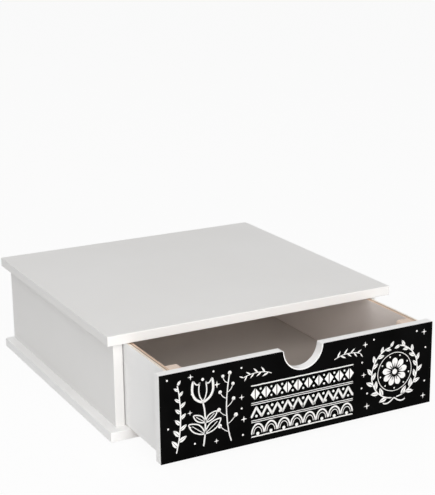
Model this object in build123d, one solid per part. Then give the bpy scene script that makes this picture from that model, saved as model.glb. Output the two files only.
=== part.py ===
from build123d import *
import os

# Storage drawer for capsules: a low stand of lacquered panels with one pull-out drawer.
# Millimetres. X runs across the front, +Y goes to the back, +Z is up.
# The origin is the centre of the footprint, on the surface that the feet stand on,
# with the drawer pulled out by its rest opening.

# ---------------------------------------------------------------- driving dimensions
# Stand
STAND_WIDTH = 290.0          # top and base plates, side to side
STAND_DEPTH = 280.0          # top and base plates, front to back
STAND_HEIGHT = 97.0          # underside of the base plate to the top of the top plate
PLATE = 9.0                  # thickness of the top and base plates
SIDE = 9.0                   # thickness of the side panels
SIDE_INSET = 9.0             # how far the plates stand out past the side panels
BACK_INSET = 3.0             # plates' back edge forward to the back of the sides
BACK = 5.5                   # thickness of the back panel
REBATE = 4.5                 # width of the side panels' rear rebate
PLATE_ROUND = 0.8            # softened edge of the plates
SIDE_ROUND = 0.8             # softened front edges of the side panels

# Drawer
REST_OPENING = 80.0          # how far the drawer is pulled out at rest
SIDE_CLEARANCE = 0.8         # drawer wall to side panel
RUN_CLEARANCE = 0.3          # drawer wall to base plate, on which it slides
TOP_CLEARANCE = 1.0          # drawer to top plate
BOTTOM_CLEARANCE = 1.0       # drawer front to base plate
CLOSED_CLEARANCE = 0.5       # drawer front to the side panels' front edges when closed
REAR_CLEARANCE = 4.5         # drawer back to back panel when closed
FRONT_INSET = 10.0           # plates' side edges in to the drawer front's ends
PRINT = 0.5                  # thickness of the printed sheet on the front
FRONT = 9.0                  # thickness of the drawer front
FRONT_ROUND = 0.6            # softened back edges of the drawer front
WALL = 5.5                   # thickness of the drawer's side and back walls
INNER_FRONT = 9.0            # thickness of the board behind the front
FLOOR = 3.0                  # thickness of the drawer's floor
FLOOR_RISE = 6.0             # bottom edge of the walls up to the floor's underside
GROOVE_DEPTH = 2.5           # depth of the groove that holds the floor
GROOVE_SLACK = 0.2           # how much wider and deeper the groove is than the floor

# Finger notch of the front, and the lower, wider scoop of the board behind it
NOTCH_RADIUS = 19.0
NOTCH_SHOULDER = 1.2
SHEET_RIM = 1.0              # how far the printed sheet stays back from the notch's edge
EAR = 11.0                   # flat end of the scooped board beside each wall
EAR_ROUND = 2.0
SCOOP_DEPTH = 30.0
SCOOP_SLOPE = 12.0           # how far the scoop's ends lean inwards on their way down
SCOOP_ROUND = 14.0

# Fasteners and feet. Fasteners and their holes are drawn with few sides, because they repeat.
DOWEL_SIDES = 12
SCREW_SIDES = 12
PIN_SIDES = 8
FIT = 0.05                   # radial gap of a fastener in its hole
POINT_RADIUS = 0.2           # blunt tip of a screw or pin
DOWEL_RADIUS = 2.5
DOWEL_BEVEL = 0.6
DOWEL_LENGTH = 22.0
DOWEL_IN_TOP = 6.0
DOWEL_END_GAP = 0.5
DOWELS_PER_SIDE = 3
BASE_SCREW_SHANK = 1.75      # radii
BASE_SCREW_CORE = 1.2
BASE_SCREW_HEAD = 3.5
BASE_SCREW_LENGTH = 30.0
BASE_SCREWS_PER_SIDE = 3
ROW_MARGIN = 32.0            # first and last dowel or screw, from the ends of a side panel
PIN_RADIUS = 0.7
PIN_HEAD_RADIUS = 1.5
PIN_HEAD = 0.6
BACK_PIN_LENGTH = 16.0
BACK_PINS_PER_SIDE = 3
BACK_PIN_MARGIN = 12.0
CORNER_PIN_LENGTH = 18.0
CORNER_PIN_COVER = 0.8       # filler and lacquer over a corner pin
CORNER_PINS_PER_JOINT = 3
CORNER_PIN_MARGIN = 14.0
FRONT_SCREW_SHANK = 1.45     # radii
FRONT_SCREW_CORE = 1.1
FRONT_SCREW_HEAD = 2.9
FRONT_SCREW_LENGTH = 15.0
FRONT_SCREWS = 4
FRONT_SCREW_MARGIN = 26.0
PAD_RADIUS = 6.0
PAD_HEIGHT = 2.0
PAD_BEVEL = 0.6
PAD_INSET = 32.0             # pad's centre, from the edges of the base plate

# ---------------------------------------------------------------- places worked out from them
HALF_WIDTH = STAND_WIDTH / 2
PLATE_FRONT = (REST_OPENING - STAND_DEPTH) / 2
PLATE_BACK = PLATE_FRONT + STAND_DEPTH
BASE_UNDER = PAD_HEIGHT
BASE_TOP = BASE_UNDER + PLATE
STAND_TOP = BASE_UNDER + STAND_HEIGHT
TOP_UNDER = STAND_TOP - PLATE

SIDE_OUTER = HALF_WIDTH - SIDE_INSET
SIDE_INNER = SIDE_OUTER - SIDE
SIDE_MIDDLE = (SIDE_OUTER + SIDE_INNER) / 2
FRONT_RECESS = PRINT + FRONT + CLOSED_CLEARANCE     # so the closed front is flush with the plates
SIDE_FRONT = PLATE_FRONT + FRONT_RECESS
SIDE_BACK = PLATE_BACK - BACK_INSET
BACK_FACE = SIDE_BACK - BACK

FRONT_FACE = PLATE_FRONT - REST_OPENING
FRONT_BOARD_FACE = FRONT_FACE + PRINT
FRONT_BOARD_BACK = FRONT_BOARD_FACE + FRONT
FRONT_HALF = HALF_WIDTH - FRONT_INSET
FRONT_BOTTOM = BASE_TOP + BOTTOM_CLEARANCE
DRAWER_TOP = TOP_UNDER - TOP_CLEARANCE

WALL_OUTER = SIDE_INNER - SIDE_CLEARANCE
WALL_INNER = WALL_OUTER - WALL
WALL_BOTTOM = BASE_TOP + RUN_CLEARANCE
WALL_BACK = BACK_FACE - REAR_CLEARANCE - REST_OPENING
BACK_WALL_FACE = WALL_BACK - WALL
INNER_FRONT_BACK = FRONT_BOARD_BACK + INNER_FRONT
FLOOR_UNDER = WALL_BOTTOM + FLOOR_RISE
FLOOR_TOP = FLOOR_UNDER + FLOOR
FLOOR_TONGUE = GROOVE_DEPTH - GROOVE_SLACK


# ---------------------------------------------------------------- helpers
NEAR = 0.01                  # how close a corner lies to where it is looked for


def block(x0, x1, y0, y1, z0, z1):
    """A box between two opposite corners."""
    middle = ((x0 + x1) / 2, (y0 + y1) / 2, (z0 + z1) / 2)
    return Pos(*middle) * Box(x1 - x0, y1 - y0, z1 - z0)


def spread(first, last, count):
    """Evenly spaced places from first to last."""
    step = (last - first) / (count - 1)
    return [first + step * i for i in range(count)]


def faceted(profile, start, direction, sides):
    """A small turned piece with few faces: frusta between (radius, distance along) rings."""
    piece = None
    plane = Plane(origin=start, z_dir=direction)
    for (r0, d0), (r1, d1) in zip(profile, profile[1:]):
        if d1 > d0:
            ring0 = plane.offset(d0) * RegularPolygon(r0, sides)
            ring1 = plane.offset(d1) * RegularPolygon(r1, sides)
            frustum = loft([ring0, ring1], ruled=True)
            piece = frustum if piece is None else piece + frustum
    return piece


def corners_at(face, x):
    """The corners of an outline that lie at x from its middle, on both sides."""
    return [v for v in face.vertices() if abs(abs(v.X) - x) < NEAR]


def softened(solid, edges, radius, thickness):
    """Rounds the edges, by no more than a third of the board's thickness."""
    return fillet(edges, min(radius, thickness / 3))


# ---------------------------------------------------------------- rows of fasteners
def side_rows():
    """Where the dowels and the base screws stand along each side panel."""
    first, last = SIDE_FRONT + ROW_MARGIN, SIDE_BACK - ROW_MARGIN
    return spread(first, last, DOWELS_PER_SIDE), spread(first, last, BASE_SCREWS_PER_SIDE)


DOWEL_YS, BASE_SCREW_YS = side_rows()
SIDES = (-1, 1)
DOWEL_SPOTS = [(s * SIDE_MIDDLE, y) for s in SIDES for y in DOWEL_YS]
BASE_SCREW_SPOTS = [(s * SIDE_MIDDLE, y) for s in SIDES for y in BASE_SCREW_YS]
BACK_PIN_X = SIDE_INNER + REBATE / 2
BACK_PIN_ZS = spread(BASE_TOP + BACK_PIN_MARGIN, TOP_UNDER - BACK_PIN_MARGIN, BACK_PINS_PER_SIDE)
BACK_PIN_SPOTS = [(s * BACK_PIN_X, z) for s in SIDES for z in BACK_PIN_ZS]
CORNER_PIN_ZS = spread(FLOOR_TOP + CORNER_PIN_MARGIN, DRAWER_TOP - CORNER_PIN_MARGIN, CORNER_PINS_PER_JOINT)
CORNER_PIN_YS = ((FRONT_BOARD_BACK + INNER_FRONT_BACK) / 2, (BACK_WALL_FACE + WALL_BACK) / 2)
CORNER_PIN_SPOTS = [(y, z) for y in CORNER_PIN_YS for z in CORNER_PIN_ZS]
CORNER_PIN_START = WALL_OUTER - CORNER_PIN_COVER
FRONT_SCREW_HALF = WALL_INNER - FRONT_SCREW_MARGIN
FRONT_SCREW_Z = (FLOOR_TOP + DRAWER_TOP - SCOOP_DEPTH) / 2
FRONT_SCREW_XS = spread(-FRONT_SCREW_HALF, FRONT_SCREW_HALF, FRONT_SCREWS)
PAD_SPOTS = [
    (s * (HALF_WIDTH - PAD_INSET), y)
    for s in SIDES
    for y in (PLATE_FRONT + PAD_INSET, PLATE_BACK - PAD_INSET)
]


# ---------------------------------------------------------------- fasteners
def dowel(x, y, gap=0.0):
    """A bevelled wooden dowel across a side panel's top edge; a gap widens it into its hole."""
    bottom = TOP_UNDER + DOWEL_IN_TOP - DOWEL_LENGTH
    end = DOWEL_RADIUS - DOWEL_BEVEL
    profile = [
        (end, 0),
        (DOWEL_RADIUS, DOWEL_BEVEL),
        (DOWEL_RADIUS, DOWEL_LENGTH - DOWEL_BEVEL),
        (end, DOWEL_LENGTH),
    ]
    if gap:
        profile = [(DOWEL_RADIUS + gap, -DOWEL_END_GAP), (DOWEL_RADIUS + gap, DOWEL_LENGTH)]
    return faceted(profile, (x, y, bottom), (0, 0, 1), DOWEL_SIDES)


def countersunk(head, shank, core, shank_length, length, start, direction, gap=0.0):
    """A countersunk screw, or with a gap its hole: cone, plain shank, core and point."""
    cone = head - shank
    profile = [
        (head + gap, 0),
        (shank + gap, cone),
        (shank + gap, shank_length),
        (core + gap, shank_length),
        (core + gap, length - core),
        (POINT_RADIUS + gap, length + gap),
    ]
    return faceted(profile, start, direction, SCREW_SIDES)


def base_screw(x, y, gap=0.0):
    """A countersunk screw up through the base plate into a side panel."""
    return countersunk(
        BASE_SCREW_HEAD, BASE_SCREW_SHANK, BASE_SCREW_CORE, PLATE, BASE_SCREW_LENGTH,
        (x, y, BASE_UNDER), (0, 0, 1), gap,
    )


def front_screw(x, gap=0.0):
    """A countersunk screw forward through the scooped board into the drawer front."""
    return countersunk(
        FRONT_SCREW_HEAD, FRONT_SCREW_SHANK, FRONT_SCREW_CORE, INNER_FRONT, FRONT_SCREW_LENGTH,
        (x, INNER_FRONT_BACK, FRONT_SCREW_Z), (0, -1, 0), gap,
    )


def back_pin(x, z, gap=0.0):
    """A flat-headed pin forward through the back panel into a side panel."""
    profile = [
        (PIN_HEAD_RADIUS + gap, 0),
        (PIN_HEAD_RADIUS + gap, PIN_HEAD),
        (PIN_RADIUS + gap, PIN_HEAD),
        (PIN_RADIUS + gap, BACK_PIN_LENGTH - PIN_RADIUS),
        (POINT_RADIUS + gap, BACK_PIN_LENGTH + gap),
    ]
    return faceted(profile, (x, SIDE_BACK, z), (0, -1, 0), PIN_SIDES)


def corner_pin(side, y, z, gap=0.0):
    """A headless pin from under the lacquer of a drawer wall into the board between the walls."""
    profile = [(PIN_RADIUS + gap, -gap), (PIN_RADIUS + gap, CORNER_PIN_LENGTH + gap)]
    return faceted(profile, (side * CORNER_PIN_START, y, z), (-side, 0, 0), PIN_SIDES)


# ---------------------------------------------------------------- stand
def plate(bottom):
    """A top or base plate with all its edges softened."""
    board = block(-HALF_WIDTH, HALF_WIDTH, PLATE_FRONT, PLATE_BACK, bottom, bottom + PLATE)
    return softened(board, board.edges(), PLATE_ROUND, PLATE)


def top_panel():
    """The top plate, with blind dowel holes in its underside."""
    board = plate(TOP_UNDER)
    for x, y in DOWEL_SPOTS:
        board -= dowel(x, y, FIT)
    return board


def base_panel():
    """The base plate, with countersunk holes for the screws into the sides."""
    board = plate(BASE_UNDER)
    for x, y in BASE_SCREW_SPOTS:
        board -= base_screw(x, y, FIT)
    return board


def side_panel(side):
    """A side panel: softened front edges, rear rebate, holes for dowels, screws and pins."""
    x0, x1 = sorted((side * SIDE_INNER, side * SIDE_OUTER))
    board = block(x0, x1, SIDE_FRONT, SIDE_BACK, BASE_TOP, TOP_UNDER)
    front_edges = board.faces().sort_by(Axis.Y)[0].edges().filter_by(Axis.Z)
    board = softened(board, front_edges, SIDE_ROUND, SIDE)
    r0, r1 = sorted((side * SIDE_INNER, side * (SIDE_INNER + REBATE)))
    board -= block(r0, r1, BACK_FACE, SIDE_BACK, BASE_TOP, TOP_UNDER)
    for y in DOWEL_YS:
        board -= dowel(side * SIDE_MIDDLE, y, FIT)
    for y in BASE_SCREW_YS:
        board -= base_screw(side * SIDE_MIDDLE, y, FIT)
    for z in BACK_PIN_ZS:
        board -= back_pin(side * BACK_PIN_X, z, FIT)
    return board


def back_panel():
    """The back panel, let into the side panels' rebates."""
    half = SIDE_INNER + REBATE
    board = block(-half, half, BACK_FACE, SIDE_BACK, BASE_TOP, TOP_UNDER)
    for x, z in BACK_PIN_SPOTS:
        board -= back_pin(x, z, FIT)
    return board


def foot_pad(x, y):
    """A round stick-on pad with a bevelled rim."""
    rim = min(PAD_BEVEL, PAD_HEIGHT / 3)
    pad = Pos(x, y, PAD_HEIGHT / 2) * Cylinder(PAD_RADIUS, PAD_HEIGHT)
    return chamfer(pad.edges().sort_by(Axis.Z)[:1], rim)


# ---------------------------------------------------------------- drawer
def front_outline(notch_radius):
    """The drawer front seen from the front, with its half-round notch and rounded shoulders."""
    width, height = 2 * FRONT_HALF, DRAWER_TOP - FRONT_BOTTOM
    face = Pos(0, (DRAWER_TOP + FRONT_BOTTOM) / 2) * Rectangle(width, height)
    face -= Pos(0, DRAWER_TOP) * Circle(notch_radius)
    return fillet(corners_at(face, notch_radius), NOTCH_SHOULDER)


def scoop_outline():
    """The board behind the front, between the drawer walls, with its wide scoop."""
    ear_end = WALL_INNER - EAR
    scoop_end = ear_end - SCOOP_SLOPE
    scoop_bottom = DRAWER_TOP - SCOOP_DEPTH
    points = [
        (-WALL_INNER, WALL_BOTTOM), (WALL_INNER, WALL_BOTTOM),
        (WALL_INNER, DRAWER_TOP), (ear_end, DRAWER_TOP), (scoop_end, scoop_bottom),
        (-scoop_end, scoop_bottom), (-ear_end, DRAWER_TOP), (-WALL_INNER, DRAWER_TOP),
    ]
    face = make_face(Polyline(*points, close=True))
    face = fillet(corners_at(face, ear_end), EAR_ROUND)
    return fillet(corners_at(face, scoop_end), SCOOP_ROUND)


def upright(face, near, far):
    """Stands an (x, z) outline up, as a board from near to far along Y."""
    return extrude(Plane(origin=(0, far, 0), x_dir=(1, 0, 0), z_dir=(0, -1, 0)) * face, far - near)


def groove(x0, x1, y0, y1):
    """The room that the floor takes in the boards round it."""
    return block(x0, x1, y0, y1, FLOOR_UNDER, FLOOR_TOP + GROOVE_SLACK)


def drawer_front_panel():
    """The drawer front: notch, softened back edges and pilot holes for its screws."""
    board = upright(front_outline(NOTCH_RADIUS), FRONT_BOARD_FACE, FRONT_BOARD_BACK)
    back_edges = board.faces().sort_by(Axis.Y)[-1].edges()
    board = softened(board, back_edges, FRONT_ROUND, FRONT)
    for x in FRONT_SCREW_XS:
        board -= front_screw(x, FIT)
    return board


def front_print_sheet():
    """The thin printed sheet that covers the drawer front, all but a rim round the notch."""
    return upright(front_outline(NOTCH_RADIUS + SHEET_RIM), FRONT_FACE, FRONT_BOARD_FACE)


def drawer_inner_front():
    """The scooped board behind the front, grooved for the floor."""
    board = upright(scoop_outline(), FRONT_BOARD_BACK, INNER_FRONT_BACK)
    board -= groove(-WALL_INNER, WALL_INNER, INNER_FRONT_BACK - GROOVE_DEPTH, INNER_FRONT_BACK)
    for x in FRONT_SCREW_XS:
        board -= front_screw(x, FIT)
    for side in SIDES:
        for z in CORNER_PIN_ZS:
            board -= corner_pin(side, CORNER_PIN_YS[0], z, FIT)
    return board


def drawer_side_wall(side):
    """A drawer wall: grooved for the floor and drilled from inside for the corner pins."""
    x0, x1 = sorted((side * WALL_INNER, side * WALL_OUTER))
    board = block(x0, x1, FRONT_BOARD_BACK, WALL_BACK, WALL_BOTTOM, DRAWER_TOP)
    g0, g1 = sorted((side * WALL_INNER, side * (WALL_INNER + GROOVE_DEPTH)))
    board -= groove(g0, g1, FRONT_BOARD_BACK, WALL_BACK)
    for y, z in CORNER_PIN_SPOTS:
        board -= corner_pin(side, y, z, FIT)
    return board


def drawer_back_wall():
    """The board that closes the drawer at the back, grooved for the floor."""
    board = block(-WALL_INNER, WALL_INNER, BACK_WALL_FACE, WALL_BACK, WALL_BOTTOM, DRAWER_TOP)
    board -= groove(-WALL_INNER, WALL_INNER, BACK_WALL_FACE, BACK_WALL_FACE + GROOVE_DEPTH)
    for side in SIDES:
        for z in CORNER_PIN_ZS:
            board -= corner_pin(side, CORNER_PIN_YS[1], z, FIT)
    return board


def drawer_floor():
    """The thin floor, held in the grooves all round."""
    half = WALL_INNER + FLOOR_TONGUE
    near, far = INNER_FRONT_BACK - FLOOR_TONGUE, BACK_WALL_FACE + FLOOR_TONGUE
    return block(-half, half, near, far, FLOOR_UNDER, FLOOR_TOP)


# ---------------------------------------------------------------- nodes
def nodes():
    """Every piece of the object by name; a group of alike fasteners is one node."""
    pieces = {
        "top_panel": [top_panel()],
        "base_panel": [base_panel()],
        "left_side_panel": [side_panel(-1)],
        "right_side_panel": [side_panel(1)],
        "back_panel": [back_panel()],
        "top_dowels": [dowel(x, y) for x, y in DOWEL_SPOTS],
        "base_screws": [base_screw(x, y) for x, y in BASE_SCREW_SPOTS],
        "back_panel_pins": [back_pin(x, z) for x, z in BACK_PIN_SPOTS],
        "foot_pads": [foot_pad(x, y) for x, y in PAD_SPOTS],
        "drawer_front_panel": [drawer_front_panel()],
        "front_print_sheet": [front_print_sheet()],
        "drawer_inner_front": [drawer_inner_front()],
        "drawer_left_wall": [drawer_side_wall(-1)],
        "drawer_right_wall": [drawer_side_wall(1)],
        "drawer_back_wall": [drawer_back_wall()],
        "drawer_floor": [drawer_floor()],
        "drawer_front_screws": [front_screw(x) for x in FRONT_SCREW_XS],
        "drawer_corner_pins": [corner_pin(s, y, z) for s in SIDES for y, z in CORNER_PIN_SPOTS],
    }
    return pieces


def main():
    """Writes one STEP file for each node."""
    os.makedirs("parts", exist_ok=True)
    for name, solids in nodes().items():
        shape = solids[0] if len(solids) == 1 else Compound(children=solids)
        export_step(shape, f"parts/{name}.step")


main()
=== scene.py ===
"""Looks of a low stand with a drawer: white lacquered panels, thin raw edges and a printed front."""

import logging
import math
from dataclasses import dataclass, field
from enum import Enum
from typing import Callable, Optional, Sequence

import bmesh
import bpy
from mathutils import Matrix, Vector


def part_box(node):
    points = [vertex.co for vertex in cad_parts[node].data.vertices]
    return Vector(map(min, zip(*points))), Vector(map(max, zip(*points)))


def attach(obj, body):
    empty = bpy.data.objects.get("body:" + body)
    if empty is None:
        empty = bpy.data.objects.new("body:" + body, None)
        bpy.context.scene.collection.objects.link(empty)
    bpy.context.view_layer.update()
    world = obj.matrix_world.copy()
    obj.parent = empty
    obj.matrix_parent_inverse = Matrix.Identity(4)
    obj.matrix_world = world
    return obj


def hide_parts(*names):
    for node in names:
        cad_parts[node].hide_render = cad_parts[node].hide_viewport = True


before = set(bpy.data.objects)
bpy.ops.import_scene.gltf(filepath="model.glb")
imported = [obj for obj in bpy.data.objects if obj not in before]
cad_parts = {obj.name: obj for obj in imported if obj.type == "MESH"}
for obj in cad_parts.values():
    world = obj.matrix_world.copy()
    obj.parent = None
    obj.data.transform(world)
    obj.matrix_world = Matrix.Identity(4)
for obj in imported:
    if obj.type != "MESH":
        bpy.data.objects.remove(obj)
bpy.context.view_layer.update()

LOG = logging.getLogger("stand_drawer")
MM = 0.001
MERGE_WITHIN = 2e-6
SMOOTH_DEGREES = 35.0
Point2 = tuple[float, float]
Colour = tuple[float, float, float]


class Body(Enum):
    """The two bodies that pieces ride on."""

    STAND = "stand"
    DRAWER = "drawer"


# ------------------------------------------------------------------ shader groups
class NodeTree:
    """A thin wrapper that adds and links nodes of a shader or geometry tree."""

    def __init__(self, tree: bpy.types.NodeTree) -> None:
        """Keeps the tree that the nodes go into."""
        self.tree = tree

    def add(self, kind: str, inputs: Optional[dict] = None, **settings: object) -> bpy.types.Node:
        """Adds a node.

        Args:
            kind: Blender's name of the node type.
            inputs: values or output sockets for its inputs, by name or index.
            settings: properties of the node itself.

        Returns:
            The new node.
        """
        node = self.tree.nodes.new(kind)
        for name, value in settings.items():
            setattr(node, name, value)
        for key, value in (inputs or {}).items():
            if isinstance(value, bpy.types.NodeSocket):
                self.tree.links.new(value, node.inputs[key])
            else:
                node.inputs[key].default_value = value
        return node

    def link(self, output: bpy.types.NodeSocket, target: bpy.types.NodeSocket) -> None:
        """Links an output to an input."""
        self.tree.links.new(output, target)

    def math(self, operation: str, *values: object, clamp: bool = False) -> bpy.types.NodeSocket:
        """Adds a Math node and returns its value."""
        inputs = dict(enumerate(values))
        return self.add("ShaderNodeMath", inputs, operation=operation, use_clamp=clamp).outputs[0]

    def mix(self, factor: object, first: object, second: object) -> bpy.types.NodeSocket:
        """Mixes two colours.

        Args:
            factor: how much of the second colour shows, 0 to 1.
            first: the first colour.
            second: the second colour.

        Returns:
            The mixed colour.
        """
        node = self.add("ShaderNodeMix", data_type="RGBA")
        for index, value in ((0, factor), (6, first), (7, second)):
            if isinstance(value, bpy.types.NodeSocket):
                self.tree.links.new(value, node.inputs[index])
            else:
                node.inputs[index].default_value = value
        return node.outputs[2]

    def ramp(self, value: bpy.types.NodeSocket, low: float, high: float) -> bpy.types.NodeSocket:
        """Stretches the range from low to high to 0..1, clamped, and returns it."""
        inputs = {"Value": value, "From Min": low, "From Max": high}
        return self.add("ShaderNodeMapRange", inputs).outputs["Result"]


def rgba(colour: Colour) -> tuple[float, float, float, float]:
    """A colour with full alpha."""
    return (*colour, 1.0)


def shader_group(
    name: str, inputs: Sequence[tuple[str, str, object]], outputs: Sequence[tuple[str, str]]
) -> tuple[NodeTree, bpy.types.Node, bpy.types.Node]:
    """Starts a shader node group.

    Args:
        name: the group's name.
        inputs: name, socket kind and default of each input.
        outputs: name and socket kind of each output.

    Returns:
        The tree's wrapper, the input node and the output node.
    """
    group = bpy.data.node_groups.new(name, "ShaderNodeTree")
    for label, kind, default in inputs:
        socket = group.interface.new_socket(name=label, in_out="INPUT", socket_type=kind)
        if default is not None:
            socket.default_value = default
    for label, kind in outputs:
        group.interface.new_socket(name=label, in_out="OUTPUT", socket_type=kind)
    tree = NodeTree(group)
    return tree, tree.add("NodeGroupInput"), tree.add("NodeGroupOutput")


FLOAT, COLOUR, VECTOR = "NodeSocketFloat", "NodeSocketColor", "NodeSocketVector"
EDGE_MARK = "edge"


def build_skin_group() -> bpy.types.NodeTree:
    """A sprayed skin: faint cloudy tone, roughness that drifts and a fine orange peel.

    Returns:
        The group, with Color, Roughness and Height outputs.
    """
    inputs = [
        ("Vector", VECTOR, None), ("Color", COLOUR, None), ("Shade", COLOUR, None),
        ("Cloud Scale", FLOAT, 9.0), ("Peel Scale", FLOAT, 900.0),
        ("Roughness", FLOAT, 0.4), ("Roughness Drift", FLOAT, 0.08),
    ]
    outputs = [("Color", COLOUR), ("Roughness", FLOAT), ("Height", FLOAT)]
    tree, given, result = shader_group("sprayed_skin", inputs, outputs)
    cloud = tree.add("ShaderNodeTexNoise", {
        "Vector": given.outputs["Vector"], "Scale": given.outputs["Cloud Scale"], "Detail": 4.0,
    })
    peel = tree.add("ShaderNodeTexNoise", {
        "Vector": given.outputs["Vector"], "Scale": given.outputs["Peel Scale"], "Detail": 2.0,
    })
    smear = tree.add("ShaderNodeTexNoise", {
        "Vector": given.outputs["Vector"], "Scale": 60.0, "Detail": 6.0, "Roughness": 0.65,
    })
    tone = tree.ramp(cloud.outputs["Fac"], 0.35, 0.7)
    colour = tree.mix(tone, given.outputs["Color"], given.outputs["Shade"])
    drift = tree.math("SUBTRACT", smear.outputs["Fac"], 0.5)
    drift = tree.math("MULTIPLY", drift, given.outputs["Roughness Drift"])
    rough = tree.math("ADD", given.outputs["Roughness"], drift, clamp=True)
    tree.link(colour, result.inputs["Color"])
    tree.link(rough, result.inputs["Roughness"])
    tree.link(peel.outputs["Fac"], result.inputs["Height"])
    return tree.tree


def build_fibre_group() -> bpy.types.NodeTree:
    """Sawn board: pressed fibres as short streaks, with pale and dark specks.

    Returns:
        The group, with Color and Height outputs.
    """
    inputs = [
        ("Vector", VECTOR, None), ("Light", COLOUR, None), ("Dark", COLOUR, None),
        ("Stretch", VECTOR, (1.0, 1.0, 1.0)), ("Scale", FLOAT, 300.0), ("Specks", FLOAT, 0.4),
    ]
    tree, given, result = shader_group("sawn_fibre", inputs, [("Color", COLOUR), ("Height", FLOAT)])
    stretched = tree.add("ShaderNodeVectorMath", {
        0: given.outputs["Vector"], 1: given.outputs["Stretch"],
    }, operation="MULTIPLY")
    streaks = tree.add("ShaderNodeTexNoise", {
        "Vector": stretched.outputs[0], "Scale": given.outputs["Scale"], "Detail": 6.0, "Roughness": 0.7,
    })
    specks = tree.add("ShaderNodeTexVoronoi", {
        "Vector": stretched.outputs[0], "Scale": given.outputs["Scale"],
    })
    streak = tree.ramp(streaks.outputs["Fac"], 0.3, 0.72)
    colour = tree.mix(streak, given.outputs["Dark"], given.outputs["Light"])
    speck = tree.math("LESS_THAN", specks.outputs["Distance"], 0.16)
    speck = tree.math("MULTIPLY", speck, given.outputs["Specks"])
    colour = tree.mix(speck, colour, given.outputs["Dark"])
    tree.link(colour, result.inputs["Color"])
    tree.link(streaks.outputs["Fac"], result.inputs["Height"])
    return tree.tree


def build_edge_group() -> bpy.types.NodeTree:
    """Handling wear along the edges, broken up by noise.

    Returns:
        The group, with a Mask output.
    """
    inputs = [
        ("Vector", VECTOR, None), ("Edge", FLOAT, 0.0), ("Scale", FLOAT, 120.0), ("Amount", FLOAT, 0.5),
    ]
    tree, given, result = shader_group("edge_wear", inputs, [("Mask", FLOAT)])
    breaks = tree.add("ShaderNodeTexNoise", {
        "Vector": given.outputs["Vector"], "Scale": given.outputs["Scale"], "Detail": 5.0, "Roughness": 0.6,
    })
    broken = tree.ramp(breaks.outputs["Fac"], 0.45, 0.62)
    mask = tree.math("MULTIPLY", broken, given.outputs["Edge"])
    mask = tree.math("MULTIPLY", mask, given.outputs["Amount"], clamp=True)
    tree.link(mask, result.inputs["Mask"])
    return tree.tree


class SharedEffects:
    """The shader groups that several finishes use, each built once."""

    def __init__(self) -> None:
        """Builds the groups."""
        self.skin = build_skin_group()
        self.fibre = build_fibre_group()
        self.edge = build_edge_group()


# ------------------------------------------------------------------ finishes
@dataclass(frozen=True)
class Finish:
    """What every finish has: a name, and the start of a material."""

    name: str

    def start(self) -> tuple[bpy.types.Material, NodeTree, bpy.types.Node, bpy.types.NodeSocket]:
        """Starts the material.

        Returns:
            The material, its tree, its Principled shader and the Object coordinates.
        """
        material = bpy.data.materials.new(self.name)
        material.use_nodes = True
        tree = NodeTree(material.node_tree)
        shader = tree.tree.nodes["Principled BSDF"]
        place = tree.add("ShaderNodeTexCoord").outputs["Object"]
        return material, tree, shader, place

    def bump(self, tree: NodeTree, shader: bpy.types.Node, height: object, depth: float) -> None:
        """Feeds a height to the shader's normal, depth in metres."""
        node = tree.add("ShaderNodeBump", {"Height": height, "Distance": depth, "Strength": 1.0})
        tree.link(node.outputs[0], shader.inputs["Normal"])


@dataclass(frozen=True)
class SkinFinish(Finish):
    """A finish with a skin: two close tones in clouds, roughness that drifts and a fine peel."""

    colour: Colour = (0.85, 0.845, 0.835)
    shade: Colour = (0.83, 0.823, 0.81)
    roughness: float = 0.42
    roughness_drift: float = 0.08
    cloud_scale: float = 9.0
    peel_scale: float = 900.0
    peel_depth: float = 0.02 * MM

    def lay_skin(
        self, shared: SharedEffects
    ) -> tuple[bpy.types.Material, NodeTree, bpy.types.Node, bpy.types.NodeSocket, bpy.types.NodeSocket]:
        """Starts the material and feeds the skin's roughness and peel to its shader.

        Args:
            shared: the shader groups.

        Returns:
            The material, its tree, its shader, the Object coordinates and the skin's colour.
        """
        material, tree, shader, place = self.start()
        skin = tree.add("ShaderNodeGroup", {
            "Vector": place, "Color": rgba(self.colour), "Shade": rgba(self.shade),
            "Cloud Scale": self.cloud_scale, "Peel Scale": self.peel_scale,
            "Roughness": self.roughness, "Roughness Drift": self.roughness_drift,
        }, node_tree=shared.skin)
        tree.link(skin.outputs["Roughness"], shader.inputs["Roughness"])
        self.bump(tree, shader, skin.outputs["Height"], self.peel_depth)
        return material, tree, shader, place, skin.outputs["Color"]


@dataclass(frozen=True)
class Lacquer(SkinFinish):
    """Satin lacquer sprayed on board, a little worn along its edges."""

    worn: Colour = (0.80, 0.785, 0.765)
    wear: float = 0.25
    coat: float = 0.12
    coat_roughness: float = 0.2

    def build(self, shared: SharedEffects) -> bpy.types.Material:
        """Builds the material.

        Args:
            shared: the shader groups.

        Returns:
            The material.
        """
        material, tree, shader, place, colour = self.lay_skin(shared)
        edge = tree.add("ShaderNodeAttribute", attribute_name=EDGE_MARK).outputs["Fac"]
        wear = tree.add("ShaderNodeGroup", {
            "Vector": place, "Edge": edge, "Amount": self.wear,
        }, node_tree=shared.edge)
        colour = tree.mix(wear.outputs["Mask"], colour, rgba(self.worn))
        tree.link(colour, shader.inputs["Base Color"])
        shader.inputs["Coat Weight"].default_value = self.coat
        shader.inputs["Coat Roughness"].default_value = self.coat_roughness
        return material


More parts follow.
